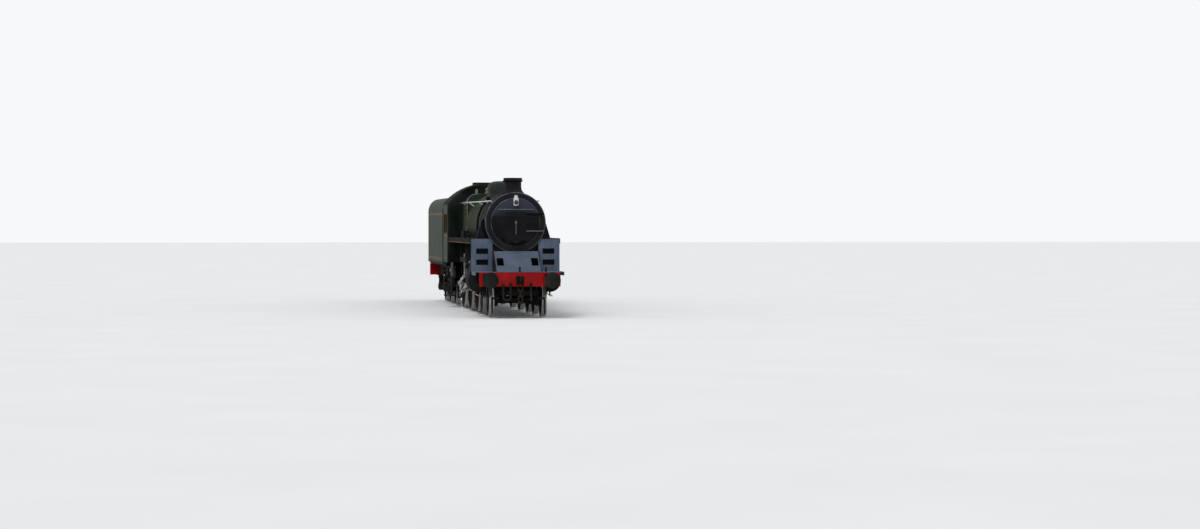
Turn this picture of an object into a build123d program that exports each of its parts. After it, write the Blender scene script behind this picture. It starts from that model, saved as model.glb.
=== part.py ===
from build123d import *
import os
from math import asin, cos, radians, sin, sqrt

# Steam locomotive of the 4-6-0 wheel arrangement with its own six-wheeled tender, two outside
# cylinders, a tapered boiler with a square-topped firebox, high running plates and a wide cab.
# Millimetres. +X points forward, +Y to the locomotive's left and +Z up. The origin is on the floor
# under the middle of the length, and the floor is where the wheel flanges rest.
# Stations count backwards from the front buffer beam, and heights upwards from the rail top.

# Clearances
FIT = 0.3  # round a pin, a journal or a seat
GAP = 6  # between pieces that move past each other

# Wheels
FLANGE = 30  # depth of the wheel flanges below the rail top
TYRE_IN = 680  # offset of the tyres' inner faces
TYRE_W = 140
TYRE_OUT = TYRE_IN + TYRE_W
HUB_OUT = 8  # hub faces stand out from the tyres' faces
DRIVER_R = 940
DRIVER_SPOKES = 18
DRIVER_HUB_R = 190
DRIVER_BASES = (2286, 2438)  # from the leading axle to the middle one, and on to the trailing one
AXLE_R = 105
BOGIE_R = 457
BOGIE_SPOKES = 10
BOGIE_HUB_R = 110
BOGIE_BASE = 1905
BOGIE_AXLE_R = 80
BOGIE_S = 1900
WHEEL_GAP = 120  # between the flanges of the bogie's rear wheels and the leading driving wheels
TENDER_R = 502
TENDER_HUB_R = 125
TENDER_AXLE_R = 78
TENDER_BASE = 2134  # between one tender axle and the next

LEAD_S = BOGIE_S + BOGIE_BASE / 2 + BOGIE_R + DRIVER_R + 2 * FLANGE + WHEEL_GAP
MAIN_S = LEAD_S + DRIVER_BASES[0]
TRAIL_S = MAIN_S + DRIVER_BASES[1]
DRIVER_S = (LEAD_S, MAIN_S, TRAIL_S)

# Heights, most of which follow from the driving wheels
BUFFER_H = 1054
BEAM_H = (BUFFER_H - 184, BUFFER_H + 214)
FRAME_TOP = DRIVER_R + 620
FLOOR_H = DRIVER_R + 560
PLATE_H = 2 * DRIVER_R + FLANGE + 290
PITCH = PLATE_H + 467  # boiler centre line

# Cylinders, abreast of the bogie's pivot
CYL_S = BOGIE_S
CYL_Y = 1020
CYL_H = DRIVER_R + 50
CYL_LONG = 960
CYL_R = 310
CYL_BACK = CYL_S + CYL_LONG / 2
CHEST_H = CYL_H + 490
CHEST_R = 185

# Motion, in layers from the wheels outwards
CRANK = 356  # half of the piston stroke
LEFT_CRANK = -45  # degrees above straight ahead
RIGHT_CRANK = -135
PIN_R = 72
ROD_LONG = 3378  # connecting rod between pin centres
ROD_IN = TYRE_OUT + HUB_OUT + 14
ROD_Y = (ROD_IN, ROD_IN + 70)  # coupling rods, inner and outer face
PIN_END = ROD_Y[1] + 18  # the wheels' crank pins reach this far out
MAIN_Y = (CYL_Y - 48, CYL_Y + 48)  # connecting rods' big ends
BAR_HALF = 62  # half of the slide bars' width
LEVER_IN = CYL_Y + BAR_HALF + GAP
LEVER_Y = (LEVER_IN, LEVER_IN + 22)  # lap levers
GEAR_Y = (LEVER_IN + 24, LEVER_IN + 46)  # radius rods and union links
LINK_Y = (LEVER_IN + 48, LEVER_IN + 74)  # slotted links
ECC_Y = (LEVER_IN + 78, LEVER_IN + 108)  # eccentric rods
GIRDER_Y = (LEVER_IN + 118, LEVER_IN + 140)
BAR_END_S = LEAD_S - 310
SLIPPER_H = (CYL_H + 216, CYL_H + 272)
LINK_S = LEAD_S + 430
LINK_H = CYL_H + 450
LINK_FOOT_H = CYL_H + 70
LINK_HALF = 235  # half of the slot's height
LINK_BEND = 1600
LEVER_S = CYL_BACK + 480
RETURN_THROW = 165
WEIGH_S = LINK_S + 330
WEIGH_H = PLATE_H - 460
BRACKET_S = (LEAD_S - 890, (LEAD_S + MAIN_S) / 2 - 15)

# Frames
FRAME_IN = 628.5  # inner faces of the main frame plates
FRAME_T = 28.5
FRAME_OUT = FRAME_IN + FRAME_T
HORN_HALF = 150
BEAM_HALF = 1145
BEAM_T = 32
BUFFER_REACH = 510  # beam to buffer face
BUFFER_Y = 870
BUFFER_HEAD_R = 226

# Boiler
SMOKEBOX_LONG = 1700
SMOKEBOX_R = 855
SMOKEBOX_T = 22
SMOKEBOX_S = (BOGIE_S - 700, BOGIE_S - 700 + SMOKEBOX_LONG)
RING_R = SMOKEBOX_R + 14
BARREL_LONG = 4160
BARREL_R = (800, 882)  # cladding radius at the smokebox and at the firebox
BARREL_END_S = SMOKEBOX_S[1] + BARREL_LONG
FIREBOX_LONG = 2660
FIREBOX_END_S = BARREL_END_S + FIREBOX_LONG
FIREBOX_HALF = BARREL_R[1] - 2
FIREBOX_TOP = PITCH + 873
FIREBOX_LOW = DRIVER_R + AXLE_R + 55
DOOR_R = 705
DOOR_HOLE_R = 650
HINGE_Y = DOOR_R + 85
HINGE_S = SMOKEBOX_S[0] - 28
STRAP_H = 240  # the door straps above and below the middle
STRAP_W = 60
CHIMNEY_S = SMOKEBOX_S[0] + 760
CHIMNEY_RISE = 432  # above the smokebox
CHIMNEY_R = 244
FLUE_R = 205
DOME_S = SMOKEBOX_S[1] + 2250
DOME_R = 430
DOME_TOP = PITCH + 1250
RAIL_H = PITCH + 620  # boiler handrails

# Running plates and platform
PLATE_T = 14
PLATE_OUT = 1290
VALANCE = 130
STEP_PLATE_S = SMOKEBOX_S[0] + 40
STEP_PLATE_T = 14

# Cab
CAB_LONG = 1730
CAB_S = (FIREBOX_END_S - 470, FIREBOX_END_S - 470 + CAB_LONG)
CAB_HALF = 1320
CAB_T = 32
CAB_LOW = FLOOR_H - 80
CAB_EAVES = PITCH + 583
ROOF_TOP = CAB_EAVES + 680
ROOF_T = 32
ROOF_HALF = CAB_HALF + 8
ROOF_OVER = 210  # the roof reaches back past the side sheets
FLOOR_T = 50
WINDOW_H = (PITCH - 337, PITCH + 293)
REACH_Y = 975  # reversing rod
REACH_END = (CAB_S[0] + 300, REACH_Y, PLATE_H - 140)

# Coupling of engine and tender
FRAME_END_S = CAB_S[1] - 330
DRAW_PIN_S = FRAME_END_S - 170
DRAW_PIN_R = 45
DRAW_H = BUFFER_H - 4

# Tender
TENDER_FRONT_S = CAB_S[1] - 120
TENDER_S = tuple(TENDER_FRONT_S + 1490 + TENDER_BASE * number for number in range(3))
TENDER_PLATE = (905, 930)  # inner and outer face of the tender's frame plates
TANK_S = (TENDER_FRONT_S + 560, TENDER_S[2] + 1342)
TANK_HALF = 1310
TANK_WALL = 26
TANK_LOW = FLOOR_H - 160
TANK_DECK = TANK_LOW + 1560
TANK_FLAT_TOP = TANK_LOW + 1720
TANK_TOP = TANK_FLAT_TOP + 440
TANK_TOP_HALF = 940
TENDER_TOP = TANK_LOW - 60  # top of the frame plates
DECK_HALF = TANK_HALF - 60
BED_HALF = DECK_HALF - 50
TENDER_BEAM_HALF = TANK_HALF - 65
REAR_BEAM_S = TANK_S[1] + 100

OVERALL = REAR_BEAM_S + 2 * BUFFER_REACH
BEAM_X = OVERALL / 2 - BUFFER_REACH


def st(station):
    return BEAM_X - station


def up(height):
    return FLANGE + height


def box(s0, s1, y0, y1, h0, h1):
    """A block between two stations, two offsets and two heights."""
    middle = Pos(st((s0 + s1) / 2), (y0 + y1) / 2, up((h0 + h1) / 2))
    return middle * Box(abs(s1 - s0), abs(y1 - y0), abs(h1 - h0))


def slab(outline, y0, y1):
    """A plate standing lengthwise, from an outline of (station, height) points."""
    face = make_face(Polyline(*[(st(s), y0, up(h)) for s, h in outline], close=True))
    return extrude(face, amount=y1 - y0, dir=(0, 1, 0))


def prism(outline, s0, s1):
    """A piece of one section all along, from an outline of (offset, height) points."""
    face = make_face(Polyline(*[(st(s0), y, up(h)) for y, h in outline], close=True))
    return extrude(face, amount=s1 - s0, dir=(-1, 0, 0))


def section(s, edges):
    """A crosswise face at a station, from edges drawn as (offset, height)."""
    return Plane(origin=(st(s), 0, FLANGE), x_dir=(0, 1, 0), z_dir=(1, 0, 0)) * make_face(edges)


def curved_prism(edges, s0, s1):
    """A piece of one section all along, from edges drawn as (offset, height)."""
    return extrude(section(s0, edges), amount=s1 - s0, dir=(-1, 0, 0))


def deck(outline, h0, h1):
    """A flat piece, from an outline of (station, offset) points."""
    face = make_face(Polyline(*[(st(s), y, up(h0)) for s, y in outline], close=True))
    return extrude(face, amount=h1 - h0, dir=(0, 0, 1))


def pole(start, end, radius):
    """A round bar between two (station, offset, height) points."""
    a = Vector(st(start[0]), start[1], up(start[2]))
    b = Vector(st(end[0]), end[1], up(end[2]))
    seat = Plane(origin=a, z_dir=b - a)
    return seat * Cylinder(radius, (b - a).length, align=(Align.CENTER, Align.CENTER, Align.MIN))


def pin(s, h, radius, y0, y1):
    return pole((s, y0, h), (s, y1, h), radius)


def post(s, y, radius, h0, h1):
    return pole((s, y, h0), (s, y, h1), radius)


def tube(s0, s1, y, h, radius):
    return pole((s0, y, h), (s1, y, h), radius)


def pipe(points, bend, radius):
    """A round pipe through (station, offset, height) points, with bends of one radius."""
    path = FilletPolyline(*[(st(s), y, up(h)) for s, y, h in points], radius=bend)
    return sweep(Plane(origin=path @ 0, z_dir=path % 0) * Circle(radius), path=path)


def turned_long(profile, y, h):
    """Turned about a lengthwise axis, from (station, radius) points."""
    face = make_face(Polyline(*[(st(s), y, up(h) + r) for s, r in profile], close=True))
    return revolve(face, axis=Axis((0, y, up(h)), (1, 0, 0)))


def turned_up(profile, s, y):
    """Turned about an upright axis, from (radius, height) points."""
    face = make_face(Polyline(*[(st(s) + r, y, up(h)) for r, h in profile], close=True))
    return revolve(face, axis=Axis((st(s), y, 0), (0, 0, 1)))


def turned_across(profile, s, h):
    """Turned about a crosswise axis, from (radius, offset) points."""
    face = make_face(Polyline(*[(st(s) + r, y, up(h)) for r, y in profile], close=True))
    return revolve(face, axis=Axis((st(s), 0, up(h)), (0, 1, 0)))


def link(a, b, width, y0, y1):
    """A flat bar with round ends between two (station, height) points."""
    ax, az, bx, bz = st(a[0]), up(a[1]), st(b[0]), up(b[1])
    run = sqrt((bx - ax) ** 2 + (bz - az) ** 2)
    seat = Plane(origin=((ax + bx) / 2, y0, (az + bz) / 2), x_dir=(bx - ax, 0, bz - az), z_dir=(0, 1, 0))
    return extrude(seat * SlotCenterToCenter(run, width), amount=y1 - y0)


def leaf_spring(s, half, top, depth, y0, y1):
    """A laminated spring, its longest leaf on top."""
    leaves = 5
    step = depth / leaves
    made = box(s - half, s + half, y0, y1, top - step, top)
    for number in range(1, leaves):
        reach = half * (1 - 0.82 * number / leaves)
        made += box(s - reach, s + reach, y0, y1, top - step * (number + 1), top - step * number)
    return made


def far(shape):
    """The same piece on the other side."""
    return mirror(shape, about=Plane.XZ)


def both(shape):
    return [shape, far(shape)]


def one(pieces):
    """Pieces that touch, as one solid."""
    first, *rest = pieces
    for piece in rest:
        first = first + piece
    return first


NODES = {}


def node(name, *shapes):
    solids = []
    for shape in shapes:
        for item in shape if isinstance(shape, (list, tuple)) else [shape]:
            solids.extend(item.solids())
    NODES[name] = Compound(children=solids) if len(solids) > 1 else solids[0]


# Wheels


def wheel(radius, spokes, hub_r, rim_depth, web, crank=None, weight=0):
    """The left wheel, with its axle along +Z outwards and its tyre's inner face at 0."""
    rim_in = radius - rim_depth
    tyre = [
        (rim_in, 0),
        (radius + FLANGE, 0),
        (radius + FLANGE, 16),
        (radius + 2, 36),
        (radius - 3, TYRE_W),
        (rim_in, TYRE_W),
    ]
    profile = make_face(Polyline(*[(r, 0, z) for r, z in tyre], close=True))
    made = revolve(profile, axis=Axis.Z)
    reach = rim_in + rim_depth / 3
    if spokes:
        arm = Polygon((hub_r * 0.6, -38), (reach, -26), (reach, 26), (hub_r * 0.6, 38), align=None)
        shape = Circle(hub_r)
        for number in range(spokes):
            shape += Rot(0, 0, 360 / spokes * (number + 0.5)) * arm
    else:
        shape = Circle(reach)
    if weight:
        shape += Circle(reach) & Pos(-radius - weight, 0) * Rectangle(2 * radius, 4 * radius)
    low = (Align.CENTER, Align.CENTER, Align.MIN)
    made += Pos(0, 0, web[0]) * extrude(shape, amount=web[1] - web[0])
    made += Pos(0, 0, -HUB_OUT) * Cylinder(hub_r, TYRE_W + 2 * HUB_OUT, align=low)
    if crank:
        boss = SlotCenterToCenter(crank, 2 * PIN_R + 130)
        made += Pos(crank / 2, 0, web[0]) * extrude(boss, amount=TYRE_W + HUB_OUT - web[0])
        made += Pos(crank, 0, web[0]) * Cylinder(PIN_R, PIN_END - TYRE_IN - web[0], align=low)
    return made


def stand(left_wheel, station, radius, angle):
    """The wheel set upright at its axle, with its crank at the angle given."""
    turned = Rot(-90, 0, 0) * Rot(0, 0, -angle) * left_wheel
    return Pos(st(station), TYRE_IN, up(radius)) * turned


def wheelset(left_wheel, station, radius, axle_r, left=0, right=0, axle_end=TYRE_IN):
    near_side = stand(left_wheel, station, radius, left)
    other_side = far(stand(left_wheel, station, radius, right))
    return near_side + other_side + pin(station, radius, axle_r, -axle_end, axle_end)


def build_wheels():
    bogie_wheel = wheel(BOGIE_R, BOGIE_SPOKES, BOGIE_HUB_R, 85, (34, 100))
    for name, sign in (("front", -1), ("rear", 1)):
        station = BOGIE_S + sign * BOGIE_BASE / 2
        node(f"bogie_wheelset_{name}", wheelset(bogie_wheel, station, BOGIE_R, BOGIE_AXLE_R))
    for number, station in enumerate(DRIVER_S, 1):
        weight = DRIVER_R * (0.56 if number == 2 else 0.65)
        driver = wheel(DRIVER_R, DRIVER_SPOKES, DRIVER_HUB_R, 105, (34, 100), CRANK, weight)
        turned = wheelset(driver, station, DRIVER_R, AXLE_R, LEFT_CRANK, RIGHT_CRANK)
        node(f"driving_wheelset_{number}", turned)
    tender_wheel = wheel(TENDER_R, 0, TENDER_HUB_R, 90, (56, 82))
    for number, station in enumerate(TENDER_S, 1):
        turned = wheelset(tender_wheel, station, TENDER_R, TENDER_AXLE_R, axle_end=TENDER_PLATE[0] + 60)
        node(f"tender_wheelset_{number}", turned)


# Rods and valve gear


def crank_at(angle, station=MAIN_S, throw=CRANK):
    """Station and height of a crank pin."""
    return station - throw * cos(radians(angle)), DRIVER_R + throw * sin(radians(angle))


def wrist_at(angle):
    """Station of the crosshead's pin for a crank angle."""
    s, h = crank_at(angle)
    return s - sqrt(ROD_LONG**2 - (h - CYL_H) ** 2)


def fluted(rod, a, b, start, end, width, y0, y1, depth):
    """The rod with a long hollow sunk into each face, between two shares of its length."""
    first = tuple(p + (q - p) * start for p, q in zip(a, b))
    last = tuple(p + (q - p) * end for p, q in zip(a, b))
    rod -= link(first, last, width, y0 - 1, y0 + depth)
    return rod - link(first, last, width, y1 - depth, y1 + 1)


def coupling_rod(angle):
    """Leading and trailing rods jointed at the middle, with an eye for each crank pin."""
    pins = [crank_at(angle, station) for station in DRIVER_S]
    thin = (ROD_Y[0] + 14, ROD_Y[1] - 14)
    rod = link(pins[0], pins[2], 120, *thin)
    for a, b, start in ((pins[0], pins[1], 0.12), (pins[1], pins[2], 0.22)):
        rod = fluted(rod, a, b, start, 0.88, 66, *thin, 11)
    for s, h in pins:
        rod += pin(s, h, PIN_R + 68, *ROD_Y)
        rod += box(s - 40, s + 40, ROD_Y[0] + 18, ROD_Y[1] - 18, h + PIN_R + 40, h + PIN_R + 92)
    knuckle = (pins[1][0] + 300, pins[1][1])
    rod += pin(*knuckle, 88, ROD_Y[0] + 4, ROD_Y[1] - 4) + pin(*knuckle, 34, *ROD_Y)
    for s, h in pins:
        rod -= pin(s, h, PIN_R + FIT, ROD_Y[0] - 1, ROD_Y[1] + 1)
    return rod


def connecting_rod(angle):
    big = crank_at(angle)
    small = (wrist_at(angle), CYL_H)
    thin = (CYL_Y - 27, CYL_Y + 27)
    rod = fluted(link(small, big, 132, *thin), small, big, 0.07, 0.93, 74, *thin, 14)
    rod += pin(*small, 88, *thin)
    rod += pin(*big, PIN_R + 78, *MAIN_Y)
    rod += box(big[0] - 46, big[0] + 46, CYL_Y - 22, CYL_Y + 22, big[1] + PIN_R + 50, big[1] + PIN_R + 104)
    rod += pin(*big, PIN_R, PIN_END + GAP, MAIN_Y[1] + 10)
    return rod - pin(*small, 45 + FIT, CYL_Y - 40, CYL_Y + 40)


def crosshead(angle):
    s = wrist_at(angle)
    slipper = box(s - 220, s + 220, CYL_Y - 56, CYL_Y + 56, *SLIPPER_H)
    cheek = [
        (s - 190, SLIPPER_H[0]),
        (s + 190, SLIPPER_H[0]),
        (s + 150, CYL_H + 130),
        (s + 92, CYL_H - 60),
        (s - 60, CYL_H - 100),
        (s - 190, CYL_H - 70),
    ]
    cheeks = [slab(cheek, CYL_Y - 56, CYL_Y - 34), slab(cheek, CYL_Y + 34, CYL_Y + 56)]
    head = box(s - 190, s - 115, CYL_Y - 56, CYL_Y + 56, CYL_H - 70, SLIPPER_H[0])
    rod_end = tube(s - 115, s - 330, CYL_Y, CYL_H, 62)
    wrist = pin(s, CYL_H, 45, CYL_Y - 64, CYL_Y + 64)
    piston_rod = tube(s - 330, CYL_BACK + 130, CYL_Y, CYL_H, 42)
    drop_arm = link((s - 150, CYL_H - 40), (s - 150, CYL_H - 230), 70, CYL_Y + 34, CYL_Y + 56)
    return one([slipper, *cheeks, head, rod_end, wrist, piston_rod, drop_arm])


def slotted_link():
    """The curved link with its slot and its foot."""
    centre = LINK_S - LINK_BEND

    def band(half_width, half_height):
        ring = pin(centre, LINK_H, LINK_BEND + half_width, *LINK_Y)
        ring -= pin(centre, LINK_H, LINK_BEND - half_width, LINK_Y[0] - 1, LINK_Y[1] + 1)
        heights = (LINK_H - half_height, LINK_H + half_height)
        return ring & box(LINK_S - 300, LINK_S + 200, LINK_Y[0], LINK_Y[1], *heights)

    tail = link((LINK_S - 24, LINK_H - LINK_HALF - 40), (LINK_S, LINK_FOOT_H), 74, *LINK_Y)
    foot_pin = pin(LINK_S, LINK_FOOT_H, 28, LINK_Y[0], ECC_Y[1] + 10)
    return one([band(75, LINK_HALF + 60) - band(32, LINK_HALF), tail, foot_pin])


def valve_gear(angle):
    """Return crank, eccentric rod, slotted link, and radius rod with lap lever and spindle."""
    s_wrist = wrist_at(angle)
    main = crank_at(angle)
    trail = crank_at(angle + 90, throw=RETURN_THROW)
    foot = (LINK_S, LINK_FOOT_H)
    crank_y = (MAIN_Y[1] + 10, MAIN_Y[1] + 48)
    crank = link(main, trail, 110, *crank_y) + pin(*main, PIN_R + 14, *crank_y)
    crank += pin(*trail, 34, crank_y[0], ECC_Y[1] + 10)
    thin = (ECC_Y[0] + 4, ECC_Y[1] - 4)
    ecc = fluted(link(trail, foot, 66, *thin), trail, foot, 0.08, 0.93, 34, *thin, 6)
    ecc += pin(*trail, 66, *ECC_Y) + pin(*foot, 50, *ECC_Y)
    ecc -= pin(*trail, 34 + FIT, ECC_Y[0] - 1, ECC_Y[1] + 1)
    ecc -= pin(*foot, 28 + FIT, ECC_Y[0] - 1, ECC_Y[1] + 1)
    top_h = CHEST_H + 60
    low_s, low_h = s_wrist - 450, CYL_H - 230
    rods = [
        link((WEIGH_S - 20, LINK_H), (LEVER_S, top_h), 56, *GEAR_Y),
        pin(LINK_S, LINK_H, 31, GEAR_Y[0], LINK_Y[1]),
        pin(LEVER_S, top_h, 20, LEVER_Y[0], GEAR_Y[1] + 8),
        link((LEVER_S, top_h), (low_s, low_h), 60, *LEVER_Y),
        pin(low_s, low_h, 18, LEVER_Y[0], GEAR_Y[1] + 8),
        link((low_s, low_h), (s_wrist - 150, low_h), 50, *GEAR_Y),
        pin(s_wrist - 150, low_h, 18, CYL_Y + 56 + FIT, GEAR_Y[1] + 8),
        tube(CYL_BACK + 80, LEVER_S + 20, CYL_Y, CHEST_H, 26),
        box(LEVER_S - 60, LEVER_S + 60, CYL_Y - 34, LEVER_Y[0], CHEST_H - 42, CHEST_H + 42),
    ]
    return crank, ecc, slotted_link(), one(rods)


def build_motion():
    rods, heads, gear = [], [], []
    for side, angle, place in (("left", LEFT_CRANK, lambda shape: shape), ("right", RIGHT_CRANK, far)):
        node(f"coupling_rods_{side}", place(coupling_rod(angle)))
        rods.append(place(connecting_rod(angle)))
        heads.append(place(crosshead(angle)))
        gear.extend(place(piece) for piece in valve_gear(angle))
    node("connecting_rods", *rods)
    node("crossheads", *heads)
    node("valve_gear", *gear)
    bar_y = (CYL_Y - BAR_HALF, CYL_Y + BAR_HALF)
    bar_low, bar_top = SLIPPER_H[1] + FIT, SLIPPER_H[1] + 56
    node("slide_bars", both(box(CYL_BACK + 62, BAR_END_S, *bar_y, bar_low, bar_top)))
    # Brackets that reach out from the frames, before and behind the leading driving wheel
    front_s, rear_s = BRACKET_S
    front = box(front_s, front_s + 30, FRAME_OUT, GIRDER_Y[1], LINK_H - 10, WEIGH_H - 50)
    front += box(front_s, front_s + 30, PIN_END + 10, GIRDER_Y[1], bar_top, WEIGH_H - 50)
    front += box(front_s, BAR_END_S, *bar_y, bar_top, bar_top + 28)
    front -= box(front_s - 5, front_s + 35, LEVER_Y[1] - 6, GEAR_Y[1] + 8, LINK_H - 10, LINK_H + 160)
    rear = box(rear_s, rear_s + 30, FRAME_OUT, GIRDER_Y[1], LINK_H + 10, WEIGH_H - 40)
    rear += box(rear_s, rear_s + 30, FRAME_IN, FRAME_OUT, FRAME_TOP, WEIGH_H - 40)
    girder = box(front_s, rear_s + 30, *GIRDER_Y, LINK_H + 60, LINK_H + 200)
    trunnion = pin(LINK_S - 6, LINK_H + 130, 60, LINK_Y[1] + FIT, GIRDER_Y[0])
    node("motion_brackets", both(one([front, rear, girder, trunnion])))
    arm_y = (GEAR_Y[1], GEAR_Y[1] + 12)
    arm_h = WEIGH_H + 200
    weigh = [pin(WEIGH_S, WEIGH_H, 38, -arm_y[1], arm_y[1])]
    weigh.extend(both(link((WEIGH_S, WEIGH_H), (WEIGH_S - 20, LINK_H), 60, *arm_y)))
    weigh.extend(both(box(WEIGH_S - 60, WEIGH_S + 60, FRAME_IN, FRAME_OUT, FRAME_TOP, WEIGH_H + 26)))
    weigh.append(link((WEIGH_S, WEIGH_H), (WEIGH_S - 30, arm_h), 64, REACH_Y - 45, REACH_Y - 20))
    weigh.append(pin(WEIGH_S - 30, arm_h, 34, REACH_Y - 20, REACH_Y + 25))
    weigh.append(pole((WEIGH_S - 30, REACH_Y, arm_h), REACH_END, 22))
    node("reversing_gear", one(weigh))


# Frames and cylinders


def frame_outline():
    """Side view of a main frame plate as (station, height) points, with a horn gap for each axle."""
    low, horn = DRIVER_R - 300, DRIVER_R + 190
    front_s = SMOKEBOX_S[0] - 50
    rise = PLATE_H - 292 - BEAM_H[1]
    outline = [(0, BEAM_H[0]), (0, BEAM_H[1]), (160, BEAM_H[1])]
    outline += [(160 + (front_s - 160) * t, BEAM_H[1] + rise * t**1.7) for t in (0.2, 0.4, 0.6, 0.8, 1)]
    outline += [(front_s + 450, BEAM_H[1] + rise), (SMOKEBOX_S[1] - 140, FRAME_TOP)]
    outline += [(CAB_S[0] - 350, FRAME_TOP), (CAB_S[0] - 50, FLOOR_H - 120)]
    outline += [(FRAME_END_S, FLOOR_H - 120), (FRAME_END_S, DRAW_H - 250), (TRAIL_S + 1046, low)]
    for station in reversed(DRIVER_S):
        outline += [(station + HORN_HALF, low), (station + HORN_HALF, horn)]
        outline += [(station - HORN_HALF, horn), (station - HORN_HALF, low)]
    bogie_top = 2 * BOGIE_R + FLANGE + 86
    return outline + [(LEAD_S - 870, low), (LEAD_S - 1030, bogie_top), (500, bogie_top)]


def build_frames():
    plate = slab(frame_outline(), FRAME_IN, FRAME_OUT)
    frames = [plate, far(plate)]
    pivot_h = BOGIE_R + 473
    frames.append(box(BOGIE_S - 340, BOGIE_S + 340, -FRAME_IN, FRAME_IN, pivot_h, pivot_h + 230))
    for s in BRACKET_S:
        frames.append(box(s, s + 30, -FRAME_IN, FRAME_IN, DRIVER_R + 60, FRAME_TOP))
    drag_s = FRAME_END_S - 650
    pocket = box(drag_s - 10, FRAME_END_S + 10, -330, 330, DRAW_H - 45, DRAW_H + 45)
    frames.append(box(drag_s, FRAME_END_S, -FRAME_IN, FRAME_IN, DRAW_H - 150, DRAW_H + 150) - pocket)
    frames.append(post(DRAW_PIN_S, 0, DRAW_PIN_R, DRAW_H - 145, DRAW_H + 145))
    frames.append(post(BOGIE_S, 0, 110, pivot_h - 370, pivot_h + 5))
    node("main_frames", one(frames))
    node("front_beam", box(-BEAM_T, 0, -BEAM_HALF, BEAM_HALF, *BEAM_H))
    node("front_buffers", both(buffer(-BEAM_T, -1)))
    node("front_coupling", coupling(-BEAM_T, -1))
    node("front_hoses", *hoses(-BEAM_T, -1))


def buffer(beam_s, way):
    """Ribbed stock, plunger and round head. way is -1 at the front and +1 at the rear."""
    reach = BUFFER_REACH - BEAM_T
    # (distance from the beam, radius)
    profile = [(0, 0), (0, 150), (40, 150), (60, 122), (250, 106), (250, 116), (300, 116), (300, 76)]
    profile += [(reach - 64, 76), (reach - 40, BUFFER_HEAD_R - 40), (reach - 28, BUFFER_HEAD_R)]
    profile += [(reach - 14, BUFFER_HEAD_R), (reach - 5, BUFFER_HEAD_R - 60), (reach, 90), (reach, 0)]
    stock = turned_long([(beam_s + way * d, r) for d, r in profile], BUFFER_Y, BUFFER_H)
    foot = (beam_s, beam_s + way * 28)
    return stock + box(*foot, BUFFER_Y - 175, BUFFER_Y + 175, BUFFER_H - 175, BUFFER_H + 175)


def shackle(s, h0, h1, half, radius):
    """An open link hanging between two heights, with a pin across each end."""
    rods = [post(s, y, radius, h1, h0) for y in (-half, half)]
    return [*rods, *[pin(s, h, radius + 6, -half - radius, half + radius) for h in (h0, h1)]]


def coupling(beam_s, way):
    """Draw hook with the screw coupling hanging from it."""
    # (distance from the beam, height above the middle)
    hook = [(0, -46), (0, 46), (150, 50), (186, 96), (214, 112), (246, 100), (272, 62), (285, 20)]
    hook += [(276, -34), (250, -66), (200, -80), (110, -50)]
    made = slab([(beam_s + way * d, BUFFER_H + h) for d, h in hook], -30, 30)
    made += box(beam_s, beam_s + way * 24, -110, 110, BUFFER_H - 110, BUFFER_H + 110)
    s = beam_s + way * 120
    pieces = [made, *shackle(s, BUFFER_H, BUFFER_H - 300, 62, 19)]
    pieces.append(post(s, 0, 26, BUFFER_H - 480, BUFFER_H - 290))
    return one([*pieces, *shackle(s, BUFFER_H - 470, BUFFER_H - 640, 56, 18)])


def hoses(beam_s, way):
    """The vacuum hose looped up to its rest on the beam, and the steam heating pipe."""
    s = beam_s + way * 62
    low = BEAM_H[0]
    vacuum = pipe([(s, -270, low + 40), (s, -270, low - 385), (s, -480, low - 385), (s, -480, low - 10)], 100, 30)
    vacuum += post(s, -270, 40, low + 40, low + 110)
    vacuum += box(beam_s, s, -300, -240, low + 40, low + 110)
    vacuum += post(s, -480, 44, low - 10, low + 80)
    vacuum += box(beam_s, s, -500, -460, low + 20, low + 55)
    end = (s + way * 90, 300, low - 330)
    steam = pipe([(s, 300, low + 60), (s, 300, low - 200), end], 60, 26)
    steam += post(s, 300, 34, low + 30, low + 110)
    steam += box(beam_s, s, 275, 325, low + 60, low + 110)
    return vacuum, steam + pole(end, (end[0] + way * 50, 300, end[2] - 72), 40)


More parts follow.
